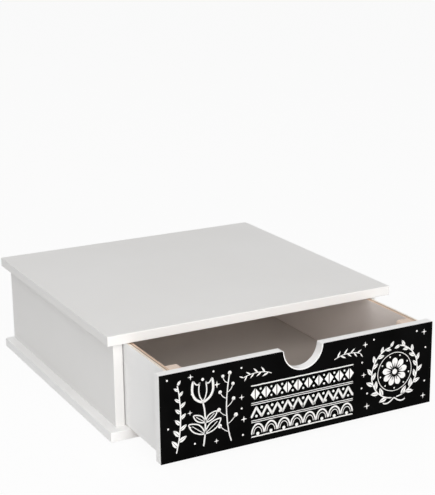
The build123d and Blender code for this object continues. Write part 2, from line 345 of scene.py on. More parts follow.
@dataclass(frozen=True)
class SawnBoard(Finish):
    """Raw sawn board; an edge may have a painted outer half and a dark core line along its middle."""

    light: Colour = (0.66, 0.53, 0.44)
    dark: Colour = (0.50, 0.37, 0.29)
    stretch: Colour = (1.0, 0.25, 1.0)
    scale: float = 700.0
    roughness: float = 0.8
    gloss: float = 0.25
    fibre_depth: float = 0.08 * MM
    core_middle: float = 0.0
    core_half: float = 0.0
    core_fade: tuple[float, float] = (1.3, 0.6)
    wander_scale: float = 90.0
    core: Colour = (0.36, 0.27, 0.20)
    painted: Colour = (0.88, 0.80, 0.71)

    def build(self, shared: SharedEffects) -> bpy.types.Material:
        """Builds the material.

        Args:
            shared: the shader groups.

        Returns:
            The material.
        """
        material, tree, shader, place = self.start()
        fibre = tree.add("ShaderNodeGroup", {
            "Vector": place, "Light": rgba(self.light), "Dark": rgba(self.dark),
            "Stretch": self.stretch, "Scale": self.scale,
        }, node_tree=shared.fibre)
        colour = fibre.outputs["Color"]
        if self.core_half:
            colour = self.mark_core(tree, place, colour)
        tree.link(colour, shader.inputs["Base Color"])
        shader.inputs["Roughness"].default_value = self.roughness
        shader.inputs["Specular IOR Level"].default_value = self.gloss
        self.bump(tree, shader, fibre.outputs["Height"], self.fibre_depth)
        return material

    def mark_core(
        self, tree: NodeTree, place: bpy.types.NodeSocket, colour: bpy.types.NodeSocket
    ) -> bpy.types.NodeSocket:
        """Paints what lies outward of the core and draws the core line, which wanders a little.

        Args:
            tree: the material's tree.
            place: the Object coordinates.
            colour: the raw board's colour.

        Returns:
            The colour of the whole edge.
        """
        across = tree.add("ShaderNodeSeparateXYZ", {0: place}).outputs["X"]
        outward = tree.math("SUBTRACT", tree.math("ABSOLUTE", across), self.core_middle)
        colour = tree.mix(tree.ramp(outward, 0.0, self.core_half), colour, rgba(self.painted))
        noise = tree.add("ShaderNodeTexNoise", {
            "Vector": place, "Scale": self.wander_scale, "Detail": 3.0,
        }).outputs["Fac"]
        wander = tree.math("MULTIPLY", tree.math("SUBTRACT", noise, 0.5), self.core_half)
        away = tree.math("ADD", tree.math("ABSOLUTE", outward), wander)
        fade_out, fade_in = (self.core_half * share for share in self.core_fade)
        return tree.mix(tree.ramp(away, fade_out, fade_in), colour, rgba(self.core))


@dataclass(frozen=True)
class PrintFilm(SkinFinish):
    """Matt black printed film with a breath of dust."""

    colour: Colour = (0.0012, 0.0012, 0.0012)
    shade: Colour = (0.0030, 0.0030, 0.0030)
    roughness: float = 0.6
    cloud_scale: float = 26.0
    peel_scale: float = 2600.0
    peel_depth: float = 0.01 * MM
    gloss: float = 0.015

    def build(self, shared: SharedEffects) -> bpy.types.Material:
        """Builds the material.

        Args:
            shared: the shader groups.

        Returns:
            The material.
        """
        material, tree, shader, _, colour = self.lay_skin(shared)
        tree.link(colour, shader.inputs["Base Color"])
        shader.inputs["Specular IOR Level"].default_value = self.gloss
        return material


@dataclass(frozen=True)
class ChalkInk(Finish):
    """White ink of a chalk drawing: bright, with thin and broken places."""

    bright: Colour = (0.86, 0.86, 0.85)
    thin: Colour = (0.42, 0.42, 0.41)
    grain_scale: float = 1800.0
    thin_share: float = 0.75
    roughness: float = 0.75
    gloss: float = 0.2

    def build(self, shared: SharedEffects) -> bpy.types.Material:
        """Builds the material.

        Args:
            shared: the shader groups, none of which the ink needs.

        Returns:
            The material.
        """
        material, tree, shader, place = self.start()
        grain = tree.add("ShaderNodeTexNoise", {
            "Vector": place, "Scale": self.grain_scale, "Detail": 4.0, "Roughness": 0.7,
        })
        thin = tree.math("MULTIPLY", tree.ramp(grain.outputs["Fac"], 0.5, 0.66), self.thin_share)
        colour = tree.mix(thin, rgba(self.bright), rgba(self.thin))
        tree.link(colour, shader.inputs["Base Color"])
        shader.inputs["Roughness"].default_value = self.roughness
        shader.inputs["Specular IOR Level"].default_value = self.gloss
        return material


@dataclass(frozen=True)
class PlatedSteel(SkinFinish):
    """Bright zinc plating with dull clouds."""

    colour: Colour = (0.74, 0.74, 0.72)
    shade: Colour = (0.50, 0.49, 0.46)
    roughness: float = 0.33
    roughness_drift: float = 0.25
    cloud_scale: float = 420.0
    peel_scale: float = 2500.0
    peel_depth: float = 0.01 * MM

    def build(self, shared: SharedEffects) -> bpy.types.Material:
        """Builds the material.

        Args:
            shared: the shader groups.

        Returns:
            The material.
        """
        material, tree, shader, _, colour = self.lay_skin(shared)
        tree.link(colour, shader.inputs["Base Color"])
        shader.inputs["Metallic"].default_value = 1.0
        return material


@dataclass(frozen=True)
class PadRubber(SkinFinish):
    """Moulded black rubber, slightly dusty."""

    colour: Colour = (0.035, 0.035, 0.037)
    shade: Colour = (0.09, 0.088, 0.085)
    roughness: float = 0.62
    cloud_scale: float = 260.0
    peel_scale: float = 3200.0
    peel_depth: float = 0.03 * MM

    def build(self, shared: SharedEffects) -> bpy.types.Material:
        """Builds the material.

        Args:
            shared: the shader groups.

        Returns:
            The material.
        """
        material, tree, shader, _, colour = self.lay_skin(shared)
        tree.link(colour, shader.inputs["Base Color"])
        return material


# ------------------------------------------------------------------ meshes
def place_piece(
    name: str, mesh: bpy.types.Mesh, body: Body, stands_for: Sequence[str] = ()
) -> bpy.types.Object:
    """Puts a finished mesh in the scene as a piece.

    Args:
        name: the piece's name.
        mesh: its mesh, in place.
        body: the body it rides on.
        stands_for: the CAD nodes that it replaces.

    Returns:
        The piece.
    """
    piece = bpy.data.objects.new(name, mesh)
    bpy.context.scene.collection.objects.link(piece)
    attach(piece, body.value)
    if stands_for:
        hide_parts(*stands_for)
    LOG.info("%s rides on %s: %d faces", name, body.value, len(mesh.polygons))
    return piece


def smooth_by_angle(mesh: bpy.types.Mesh, degrees: float = SMOOTH_DEGREES) -> None:
    """Shades the mesh smooth, but for edges sharper than the angle."""
    mesh.polygons.foreach_set("use_smooth", [True] * len(mesh.polygons))
    mesh.set_sharp_from_angle(angle=math.radians(degrees))


def keep_broad_faces_flat(mesh: bpy.types.Mesh, degrees: float = SMOOTH_DEGREES) -> None:
    """Gives each corner the area-weighted normal of the faces it runs smoothly into.

    Broad faces outweigh the narrow eased edges, so they stay evenly shaded.

    Args:
        mesh: the mesh, shaded smooth.
        degrees: the sharpest angle that is still smooth.
    """
    limit = math.radians(degrees)
    shape = bmesh.new()
    shape.from_mesh(mesh)
    areas = [face.calc_area() for face in shape.faces]
    normals = []
    for face in shape.faces:
        for loop in face.loops:
            total = Vector()
            for other in loop.vert.link_faces:
                if face.normal.angle(other.normal, math.pi) < limit:
                    total += other.normal * areas[other.index]
            normals.append(total.normalized())
    shape.free()
    mesh.normals_split_custom_set(normals)


def joined(name: str, meshes: Sequence[bpy.types.Mesh]) -> bpy.types.Mesh:
    """Joins meshes of one material into a new one and removes them.

    Args:
        name: the new mesh's name.
        meshes: the meshes, all with the same material.

    Returns:
        The joined mesh.
    """
    shape = bmesh.new()
    for mesh in meshes:
        shape.from_mesh(mesh)
    whole = bpy.data.meshes.new(name)
    shape.to_mesh(whole)
    shape.free()
    whole.materials.append(meshes[0].materials[0])
    for mesh in meshes:
        bpy.data.meshes.remove(mesh)
    return whole


def turned(name: str, profile: Sequence[Point2], sides: int, flute: float = 0.0) -> bpy.types.Mesh:
    """Turns a closed profile of (radius, height) rings about Z, with a closed fan at each end.

    Args:
        name: the mesh's name.
        profile: radius and height of each ring, from the bottom up.
        sides: how many sides each ring has.
        flute: how deep every second corner is drawn in, as on a fluted dowel.

    Returns:
        The solid's mesh.
    """
    shape = bmesh.new()
    rings = []
    for radius, height in profile:
        ring = []
        for i in range(sides):
            angle = math.tau * i / sides
            reach = radius - (flute if i % 2 else 0.0)
            ring.append(shape.verts.new((reach * math.cos(angle), reach * math.sin(angle), height)))
        rings.append(ring)
    for lower, upper in zip(rings, rings[1:]):
        for i in range(sides):
            j = (i + 1) % sides
            shape.faces.new((lower[i], lower[j], upper[j], upper[i]))
    shape.faces.new(list(reversed(rings[0])))
    shape.faces.new(rings[-1])
    mesh = bpy.data.meshes.new(name)
    shape.to_mesh(mesh)
    shape.free()
    smooth_by_angle(mesh)
    return mesh


def prisms(name: str, outlines: Sequence[Sequence[Point2]], height: float) -> bpy.types.Mesh:
    """Raises flat outlines, given counter-clockwise in XY, into prisms of one height.

    Args:
        name: the mesh's name.
        outlines: the outlines' corners.
        height: the prisms' height, from Z = 0 up.

    Returns:
        The mesh.
    """
    shape = bmesh.new()
    for outline in outlines:
        low = [shape.verts.new((x, y, 0.0)) for x, y in outline]
        high = [shape.verts.new((x, y, height)) for x, y in outline]
        shape.faces.new(high)
        shape.faces.new(list(reversed(low)))
        for i in range(len(outline)):
            j = (i + 1) % len(outline)
            shape.faces.new((low[i], low[j], high[j], high[i]))
    bmesh.ops.recalc_face_normals(shape, faces=shape.faces)
    mesh = bpy.data.meshes.new(name)
    shape.to_mesh(mesh)
    shape.free()
    return mesh


# ------------------------------------------------------------------ geometry trees
GEOMETRY, OBJECT, MATERIAL = "NodeSocketGeometry", "NodeSocketObject", "NodeSocketMaterial"
INTEGER, ROTATION = "NodeSocketInt", "NodeSocketRotation"
WIDTH_MARK, RING_MARK = "width", "ring"


def geometry_group(
    name: str, inputs: Sequence[tuple[str, str, object]]
) -> tuple[NodeTree, bpy.types.Node, bpy.types.Node]:
    """Starts a geometry tree that takes a geometry and gives one back.

    Args:
        name: the tree's name.
        inputs: name, socket kind and default of each input after the geometry.

    Returns:
        The tree's wrapper, the input node and the output node.
    """
    group = bpy.data.node_groups.new(name, "GeometryNodeTree")
    group.interface.new_socket(name="Geometry", in_out="INPUT", socket_type=GEOMETRY)
    for label, kind, default in inputs:
        socket = group.interface.new_socket(name=label, in_out="INPUT", socket_type=kind)
        if default is not None:
            socket.default_value = default
    group.interface.new_socket(name="Geometry", in_out="OUTPUT", socket_type=GEOMETRY)
    tree = NodeTree(group)
    return tree, tree.add("NodeGroupInput"), tree.add("NodeGroupOutput")


def stand_up(tree: NodeTree, flat: bpy.types.NodeSocket, given: bpy.types.Node) -> bpy.types.NodeSocket:
    """Turns what is drawn flat in XY upright, facing -Y, and lifts it to the sheet.

    Args:
        tree: the tree.
        flat: the flat geometry.
        given: the group's input node, with Face and Bottom.

    Returns:
        The upright geometry.
    """
    place = tree.add("ShaderNodeCombineXYZ", {"Y": given.outputs["Face"], "Z": given.outputs["Bottom"]})
    upright = tree.add("GeometryNodeTransform", {
        "Geometry": flat, "Translation": place.outputs[0], "Rotation": (math.pi / 2, 0.0, 0.0),
    })
    return upright.outputs[0]


def finish_tree(
    tree: NodeTree, geometry: bpy.types.NodeSocket, given: bpy.types.Node, result: bpy.types.Node
) -> bpy.types.NodeTree:
    """Ends a tree in Realize Instances and Set Material.

    Args:
        tree: the tree.
        geometry: what it has made.
        given: the group's input node, with Material.
        result: the group's output node.

    Returns:
        The finished tree.
    """
    real = tree.add("GeometryNodeRealizeInstances", {"Geometry": geometry})
    dressed = tree.add("GeometryNodeSetMaterial", {
        "Geometry": real.outputs[0], "Material": given.outputs["Material"],
    })
    tree.link(dressed.outputs[0], result.inputs["Geometry"])
    return tree.tree


def build_line_tree() -> bpy.types.NodeTree:
    """Chalk lines: each drawn line becomes a raised stroke whose width and path waver.

    Returns:
        The tree.
    """
    tree, given, result = geometry_group("chalk_lines", [
        ("Step", FLOAT, 0.6 * MM), ("Waver", FLOAT, 0.3), ("Waver Scale", FLOAT, 700.0),
        ("Drift", FLOAT, 0.3 * MM), ("Drift Scale", FLOAT, 160.0), ("Tip", FLOAT, 0.25),
        ("Depth", FLOAT, 0.05 * MM), ("Face", FLOAT, 0.0), ("Bottom", FLOAT, 0.0),
        ("Material", MATERIAL, None),
    ])
    curve = tree.add("GeometryNodeMeshToCurve", {0: given.outputs["Geometry"]})
    even = tree.add("GeometryNodeResampleCurve", {
        "Curve": curve.outputs[0], "Length": given.outputs["Step"],
    }, mode="LENGTH")
    place = tree.add("GeometryNodeInputPosition").outputs[0]
    sway = tree.add("ShaderNodeTexNoise", {
        "Vector": place, "Scale": given.outputs["Drift Scale"], "Detail": 2.0,
    }).outputs["Color"]
    for operation, inputs in (
        ("SUBTRACT", {1: (0.5, 0.5, 0.5)}), ("MULTIPLY", {1: (2.0, 2.0, 0.0)}),
        ("SCALE", {"Scale": given.outputs["Drift"]}),
    ):
        sway = tree.add("ShaderNodeVectorMath", {0: sway, **inputs}, operation=operation).outputs[0]
    moved = tree.add("GeometryNodeSetPosition", {"Geometry": even.outputs[0], "Offset": sway})
    flat = tree.add("GeometryNodeSetCurveNormal", {"Curve": moved.outputs[0]}, mode="Z_UP")
    noise_value = tree.add("ShaderNodeTexNoise", {
        "Vector": place, "Scale": given.outputs["Waver Scale"], "Detail": 3.0,
    }).outputs["Fac"]
    change = tree.math("MULTIPLY", tree.math("SUBTRACT", noise_value, 0.5), given.outputs["Waver"])
    width = tree.add("GeometryNodeInputNamedAttribute", {"Name": WIDTH_MARK}, data_type="FLOAT").outputs[0]
    ring = tree.add("GeometryNodeInputNamedAttribute", {"Name": RING_MARK}, data_type="FLOAT").outputs[0]
    along = tree.add("GeometryNodeSplineParameter").outputs["Length"]
    whole = tree.add("GeometryNodeSplineLength").outputs[0]
    nearest = tree.math("MINIMUM", along, tree.math("SUBTRACT", whole, along))
    share = tree.math("DIVIDE", nearest, tree.math("MULTIPLY", width, 0.5), clamp=True)
    rounded = tree.math("MAXIMUM", tree.math("POWER", share, 0.5), given.outputs["Tip"])
    rounded = tree.math("MAXIMUM", rounded, ring)
    wavering = tree.math("MULTIPLY", width, tree.math("ADD", change, 1.0))
    scale = tree.math("MULTIPLY", wavering, rounded)
    section = tree.add("GeometryNodeCurvePrimitiveQuadrilateral", {"Width": 1.0, "Height": 1.0})
    stroke = tree.add("GeometryNodeCurveToMesh", {
        "Curve": flat.outputs[0], "Profile Curve": section.outputs[0], "Scale": scale, "Fill Caps": True,
    })
    spot = tree.add("ShaderNodeSeparateXYZ", {0: place})
    level = tree.math("MULTIPLY", tree.math("GREATER_THAN", spot.outputs["Z"], 0.0), given.outputs["Depth"])
    level_place = tree.add("ShaderNodeCombineXYZ", {
        "X": spot.outputs["X"], "Y": spot.outputs["Y"], "Z": level,
    })
    pressed = tree.add("GeometryNodeSetPosition", {
        "Geometry": stroke.outputs[0], "Position": level_place.outputs[0],
    })
    return finish_tree(tree, stand_up(tree, pressed.outputs[0], given), given, result)


def build_row_tree() -> bpy.types.NodeTree:
    """A row of one motif along each drawn line, leaning left and right in turn.

    Returns:
        The tree.
    """
    tree, given, result = geometry_group("motif_row", [
        ("Motif", OBJECT, None), ("Spacing", FLOAT, 5 * MM), ("Size", FLOAT, 1.0), ("End Size", FLOAT, 1.0),
        ("Lean", FLOAT, 0.8), ("Start", FLOAT, -1.0), ("Size Waver", FLOAT, 0.12), ("Seed", INTEGER, 0),
        ("Face", FLOAT, 0.0), ("Bottom", FLOAT, 0.0), ("Material", MATERIAL, None),
    ])
    curve = tree.add("GeometryNodeMeshToCurve", {0: given.outputs["Geometry"]})
    spots = tree.add("GeometryNodeResampleCurve", {
        "Curve": curve.outputs[0], "Length": given.outputs["Spacing"],
    }, mode="LENGTH")
    motif = tree.add("GeometryNodeObjectInfo", {"Object": given.outputs["Motif"]})
    along = tree.add("GeometryNodeSplineParameter").outputs["Factor"]
    index = tree.add("GeometryNodeInputIndex").outputs[0]
    odd = tree.math("MODULO", index, 2.0)
    side = tree.math("SUBTRACT", tree.math("MULTIPLY", odd, 2.0), 1.0)
    chance = tree.add("FunctionNodeRandomValue", {
        2: -1.0, 3: 1.0, 8: given.outputs["Seed"],
    }, data_type="FLOAT").outputs[1]
    growth = tree.add("ShaderNodeMapRange", {
        "Value": along, "To Min": given.outputs["Size"], "To Max": given.outputs["End Size"],
    }).outputs[0]
    uneven = tree.math("ADD", tree.math("MULTIPLY", chance, given.outputs["Size Waver"]), 1.0)
    size = tree.math("MULTIPLY", growth, uneven)
    tangent = tree.add("GeometryNodeInputTangent").outputs[0]
    aimed = tree.add("FunctionNodeAlignRotationToVector", {"Vector": tangent}, axis="X", pivot_axis="Z")
    lean = tree.math("MULTIPLY", tree.math("MULTIPLY", side, given.outputs["Lean"]), uneven)
    turn = tree.add("ShaderNodeCombineXYZ", {"Z": lean})
    turn = tree.add("FunctionNodeEulerToRotation", {0: turn.outputs[0]})
    leaning = tree.add("FunctionNodeRotateRotation", {0: aimed.outputs[0], 1: turn.outputs[0]})
    kept = tree.math("GREATER_THAN", along, given.outputs["Start"])
    row = tree.add("GeometryNodeInstanceOnPoints", {
        "Points": spots.outputs[0], "Selection": kept, "Instance": motif.outputs["Geometry"],
        "Rotation": leaning.outputs[0], "Scale": size,
    })
    return finish_tree(tree, stand_up(tree, row.outputs[0], given), given, result)


def build_fastener_tree() -> bpy.types.NodeTree:
    """One fastener or pad at each point, turned about its own axis by chance.

    Returns:
        The tree.
    """
    tree, given, result = geometry_group("fasteners", [
        ("Fastener", OBJECT, None), ("Direction", ROTATION, None), ("Turn", FLOAT, math.tau),
        ("Seed", INTEGER, 0), ("Material", MATERIAL, None),
    ])
    spots = tree.add("GeometryNodeMeshToPoints", {0: given.outputs["Geometry"]})
    fastener = tree.add("GeometryNodeObjectInfo", {"Object": given.outputs["Fastener"]})
    chance = tree.add("FunctionNodeRandomValue", {
        2: 0.0, 3: given.outputs["Turn"], 8: given.outputs["Seed"],
    }, data_type="FLOAT").outputs[1]
    turn = tree.add("ShaderNodeCombineXYZ", {"Z": chance})
    turn = tree.add("FunctionNodeEulerToRotation", {0: turn.outputs[0]})
    aimed = tree.add("FunctionNodeRotateRotation", {
        0: turn.outputs[0], 1: given.outputs["Direction"],
    }, rotation_space="GLOBAL")
    row = tree.add("GeometryNodeInstanceOnPoints", {
        "Points": spots.outputs[0], "Instance": fastener.outputs["Geometry"], "Rotation": aimed.outputs[0],
    })
    return finish_tree(tree, row.outputs[0], given, result)


def run_tree(tree: bpy.types.NodeTree, base: bpy.types.Mesh, values: dict[str, object]) -> bpy.types.Mesh:
    """Runs a geometry tree on a mesh and takes the result as a plain mesh.

    Args:
        tree: the geometry tree.
        base: the mesh that goes in; it is used up.
        values: the tree's other inputs, by name.

    Returns:
        The new mesh, with its material.
    """
    carrier = bpy.data.objects.new("carrier", base)
    bpy.context.scene.collection.objects.link(carrier)
    modifier = carrier.modifiers.new("tree", "NODES")
    modifier.node_group = tree
    for item in tree.interface.items_tree:
        if item.item_type == "SOCKET" and item.in_out == "INPUT" and item.name in values:
            modifier[item.identifier] = values[item.name]
    graph = bpy.context.evaluated_depsgraph_get()
    mesh = bpy.data.meshes.new_from_object(carrier.evaluated_get(graph), depsgraph=graph)
    carrier.modifiers.remove(modifier)
    bpy.data.objects.remove(carrier)
    bpy.data.meshes.remove(base)
    if not mesh.materials:
        mesh.materials.append(values["Material"])
    return mesh


def hidden_model(name: str, mesh: bpy.types.Mesh) -> bpy.types.Object:
    """A model object that a tree copies; it is in no collection, so it never shows."""
    return bpy.data.objects.new(name, mesh)


# ------------------------------------------------------------------ boards
FacePicker = Callable[[bmesh.types.BMFace], int]
FLAT_WITHIN = math.radians(0.3)
CORNER_FROM = math.radians(60)
SQUARE_ON = 0.995
FACING = 0.8


@dataclass
class Board:
    """A flat board made from its CAD node: merged, eased along its edges and dressed."""

    node: str
    body: Body
    slot: str
    materials: Sequence[bpy.types.Material]
    ease: float = 0.0
    shortest: float = 6 * MM
    picker: Optional[FacePicker] = None
    front_drawn_in: float = 0.0

    def build(self) -> bpy.types.Object:
        """Builds the piece.

        Returns:
            The piece that stands for the node.
        """
        shape = bmesh.new()
        shape.from_mesh(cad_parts[self.node].data)
        bmesh.ops.remove_doubles(shape, verts=shape.verts, dist=MERGE_WITHIN)
        bmesh.ops.dissolve_limit(shape, angle_limit=FLAT_WITHIN, verts=shape.verts, edges=shape.edges)
        if self.front_drawn_in:
            self.draw_in_front(shape)
        edge_layer = shape.faces.layers.float.new(EDGE_MARK)
        for face in shape.faces:
            face[edge_layer] = float(max(abs(c) for c in face.normal) < SQUARE_ON)
        if self.ease:
            eased = [e for e in shape.edges if self.is_corner(e)]
            made = bmesh.ops.bevel(
                shape, geom=eased, offset=self.ease, segments=2, profile=0.5,
                affect="EDGES", clamp_overlap=True,
            )
            for face in made["faces"]:
                face[edge_layer] = 1.0
        if self.picker:
            for face in shape.faces:
                face.material_index = self.picker(face)
        mesh = bpy.data.meshes.new(self.node + "_board")
        shape.to_mesh(mesh)
        shape.free()
        for material in self.materials:
            mesh.materials.append(material)
        smooth_by_angle(mesh)
        keep_broad_faces_flat(mesh)
        return place_piece(self.node + "_board", mesh, self.body, [self.node])

    def draw_in_front(self, shape: bmesh.types.BMesh) -> None:
        """Draws the front face in, to leave room for what lies on it.

        Args:
            shape: the board, which is changed.
        """
        nearest = min(v.co.y for v in shape.verts)
        for vert in shape.verts:
            if vert.co.y < nearest + MERGE_WITHIN:
                vert.co.y += self.front_drawn_in

    def is_corner(self, edge: bmesh.types.BMEdge) -> bool:
        """Tells whether an edge is to be eased.

        Args:
            edge: the edge.

        Returns:
            Whether it is a long outward corner of the board.
        """
        if len(edge.link_faces) != 2 or edge.calc_length() < self.shortest:
            return False
        return edge.is_convex and edge.calc_face_angle(0.0) > CORNER_FROM


# ------------------------------------------------------------------ fasteners and feet
def node_spots(node: str, along: int) -> list[Vector]:
    """Where the solids of a node of alike pieces stand: the middle of each, seen along an axis.

    Args:
        node: the CAD node.
        along: the index of the pieces' own axis, 0 to 2.

    Returns:
        The middles, with the lowest value on that axis.
    """
    shape = bmesh.new()
    shape.from_mesh(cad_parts[node].data)
    bmesh.ops.remove_doubles(shape, verts=shape.verts, dist=MERGE_WITHIN)
    spots, seen = [], set()
    for first in shape.verts:
        if first.index in seen:
            continue
        island, waiting = [], [first]
        seen.add(first.index)
        while waiting:
            vert = waiting.pop()
            island.append(vert.co)
            for edge in vert.link_edges:
                other = edge.other_vert(vert)
                if other.index not in seen:
                    seen.add(other.index)
                    waiting.append(other)
        low = Vector(min(c[i] for c in island) for i in range(3))
        high = Vector(max(c[i] for c in island) for i in range(3))
        middle = (low + high) / 2
        middle[along] = low[along]
        spots.append(middle)
    shape.free()
    return spots


def points_mesh(name: str, spots: Sequence[Vector]) -> bpy.types.Mesh:
    """A mesh of loose points.

    Args:
        name: the mesh's name.
        spots: the points.

    Returns:
        The mesh.
    """
    mesh = bpy.data.meshes.new(name)
    mesh.from_pydata([tuple(s) for s in spots], [], [])
    return mesh


@dataclass
class ScrewModel:
    """A countersunk wood screw with a cross recess, head at Z = 0 and point up, in metres."""

    head: float
    shank: float
    core: float
    shank_length: float
    length: float
    sides: int = 28
    rim: float = 0.2 * MM
    tip_cores: float = 2.5
    tip_share: float = 0.15
    thread_height: float = 0.4 * MM
    thread_pitch: float = 1.4 * MM
    thread_share: float = 0.3
    thread_root: float = 0.98
    thread_steps: int = 16
    recess_depth: float = 1.3 * MM
    recess_lead: float = 0.5 * MM
    recess_arm: float = 0.55
    recess_width: float = 0.17
    recess_taper: tuple[float, float] = (0.55, 0.8)

    @property
    def thread_start(self) -> float:
        """Where the threaded core begins, behind the shank's short taper."""
        return self.shank_length + self.core / 2

    @property
    def thread_stop(self) -> float:
        """Where the point begins."""
        return self.length - self.tip_cores * self.core

    def build(self) -> bpy.types.Object:
        """Builds the turned body, cuts the recess and winds the thread.

        Returns:
            The hidden model.
        """
        cone = self.head - self.shank
        profile = [
            (self.head - self.rim, 0.0), (self.head, self.rim), (self.shank, cone + self.rim),
            (self.shank, self.shank_length), (self.core, self.thread_start),
            (self.core, self.thread_stop), (self.core * self.tip_share, self.length),
        ]
        body = hidden_model("screw_body", turned("screw_body", profile, self.sides))
        bpy.context.scene.collection.objects.link(body)
        cutter = self.recess()
        cut = body.modifiers.new("recess", "BOOLEAN")
        cut.operation, cut.object, cut.solver = "DIFFERENCE", cutter, "EXACT"
        graph = bpy.context.evaluated_depsgraph_get()
        mesh = bpy.data.meshes.new_from_object(body.evaluated_get(graph), depsgraph=graph)
        shape = bmesh.new()
        shape.from_mesh(mesh)
        self.add_thread(shape)
        shape.to_mesh(mesh)
        shape.free()
        smooth_by_angle(mesh)
        for used in (body, cutter):
            bpy.data.objects.remove(used)
        return hidden_model("screw_model", mesh)

    def recess(self) -> bpy.types.Object:
        """Makes the tapering cross that is cut out of the head.

        Returns:
            The cutter.
        """
        arm, half = self.head * self.recess_arm, self.head * self.recess_width
        corners = [(arm, half), (half, half), (half, arm)]
        quarters = ((1, 0), (0, 1), (-1, 0), (0, -1))
        cross = [(x * c - y * s, x * s + y * c) for c, s in quarters for x, y in corners]
        taper_x, taper_y = self.recess_taper
        shape = bmesh.new()
        low = [shape.verts.new((x, y, -self.recess_lead)) for x, y in cross]
        high = [shape.verts.new((x * taper_x, y * taper_y, self.recess_depth)) for x, y in cross]
        shape.faces.new(low)
        shape.faces.new(list(reversed(high)))
        for i in range(len(cross)):
            j = (i + 1) % len(cross)
            shape.faces.new((low[j], low[i], high[i], high[j]))
        bmesh.ops.recalc_face_normals(shape, faces=shape.faces)
        mesh = bpy.data.meshes.new("recess")
        shape.to_mesh(mesh)
        shape.free()
        cutter = bpy.data.objects.new("recess", mesh)
        bpy.context.scene.collection.objects.link(cutter)
        return cutter

    def add_thread(self, shape: bmesh.types.BMesh) -> None:
        """Winds a three-cornered ridge round the core, fading out at both ends.

        Args:
            shape: the screw's mesh, which gets the ridge.
        """
        travel = self.thread_stop - self.thread_start
        steps = int(travel / self.thread_pitch * self.thread_steps)
        root, flank = self.core * self.thread_root, self.thread_pitch * self.thread_share
        previous = None
        for step in range(steps + 1):
            angle = math.tau * step / self.thread_steps
            height = self.thread_start + travel * step / steps
            fade = min(1.0, step / self.thread_steps, (steps - step) / self.thread_steps)
            ridge = ((root, -flank), (self.core + self.thread_height * fade, 0.0), (root, flank))
            ring = [
                shape.verts.new((r * math.cos(angle), r * math.sin(angle), height + h)) for r, h in ridge
            ]
            if previous is None:
                shape.faces.new(ring)
            else:
                for i in range(3):
                    j = (i + 1) % 3
                    shape.faces.new((previous[i], previous[j], ring[j], ring[i]))
            previous = ring
        shape.faces.new(list(reversed(previous)))


@dataclass
class Hardware:
    """Screws, pins, dowels and pads: a model of each, copied to where its node has them."""

    tree: bpy.types.NodeTree
    steel: bpy.types.Material
    beech: bpy.types.Material
    rubber: bpy.types.Material

    def build(self) -> None:
        """Builds each set as one piece."""
        base = ScrewModel(
            head=3.5 * MM, shank=1.75 * MM, core=1.2 * MM, shank_length=9 * MM, length=30 * MM,
        )
        front = ScrewModel(
            head=2.9 * MM, shank=1.45 * MM, core=1.1 * MM, shank_length=9 * MM, length=15 * MM,
        )
        self.lay("base_screws", base.build(), Body.STAND, self.steel)
        self.lay("drawer_front_screws", front.build(), Body.DRAWER, self.steel, True)
        self.lay("back_panel_pins", self.pin_model(), Body.STAND, self.steel, True)
        self.lay("top_dowels", self.dowel_model(), Body.STAND, self.beech)
        self.lay("foot_pads", self.pad_model(), Body.STAND, self.rubber)

    def lay(
        self, node: str, model: bpy.types.Object, body: Body,
        material: bpy.types.Material, from_behind: bool = False,
    ) -> None:
        """Copies a model to each place of a node.

        Args:
            node: the CAD node that the set stands for.
            model: the model, head or foot at Z = 0 and pointing up.
            body: the body that the set rides on.
            material: the finish.
            from_behind: whether the pieces go in from behind, along -Y, and not upwards.
        """
        along = 1 if from_behind else 2
        spots = node_spots(node, along)
        if from_behind:
            for spot in spots:
                spot[along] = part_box(node)[1][along]
        direction = (math.pi / 2, 0.0, 0.0) if from_behind else (0.0, 0.0, 0.0)
        mesh = run_tree(self.tree, points_mesh(node, spots), {
            "Fastener": model, "Direction": direction, "Material": material, "Seed": len(spots),
        })
        smooth_by_angle(mesh)
        place_piece(node + "_set", mesh, body, [node])
        bpy.data.objects.remove(model)

    @staticmethod
    def pin_model() -> bpy.types.Object:
        """Makes a flat-headed panel pin with a slightly domed head.

        Returns:
            The hidden model.
        """
        head, shank, length, thick = 1.5 * MM, 0.7 * MM, 16 * MM, 0.6 * MM
        profile = [
            (head * 0.7, 0.0), (head * 0.93, 0.08 * MM), (head, 0.22 * MM), (head, thick),
            (shank, thick + 0.05 * MM), (shank, length - 1.4 * MM), (0.1 * MM, length),
        ]
        return hidden_model("pin_model", turned("pin_model", profile, 20))

    @staticmethod
    def dowel_model() -> bpy.types.Object:
        """Makes a fluted beech dowel with bevelled ends.

        Returns:
            The hidden model.
        """
        radius, length, bevel = 2.5 * MM, 22 * MM, 0.6 * MM
        profile = [
            (radius - bevel, 0.0), (radius, bevel), (radius, length - bevel), (radius - bevel, length),
        ]
        return hidden_model("dowel_model", turned("dowel_model", profile, 40, flute=0.15 * MM))

    @staticmethod
    def pad_model() -> bpy.types.Object:
        """Makes a round pad: bevelled rim, a shallow dish in its foot and a ring round the dish.

        Returns:
            The hidden model.
        """
        radius, height = 6 * MM, 2 * MM
        profile = [
            (1.2 * MM, 0.28 * MM), (3.4 * MM, 0.26 * MM), (3.8 * MM, 0.06 * MM), (4.2 * MM, 0.0),
            (5.0 * MM, 0.0), (5.4 * MM, 0.1 * MM), (radius, 0.7 * MM), (radius, height - 0.25 * MM),
            (radius - 0.12 * MM, height),
        ]
        return hidden_model("pad_model", turned("pad_model", profile, 48))


# ------------------------------------------------------------------ the chalk drawing
def arc(middle: Point2, radius: float, start: float, stop: float, count: int = 24) -> list[Point2]:
    """Points on an arc, angles in degrees."""
    angles = (math.radians(start + (stop - start) * i / count) for i in range(count + 1))
    return [(middle[0] + radius * math.cos(a), middle[1] + radius * math.sin(a)) for a in angles]


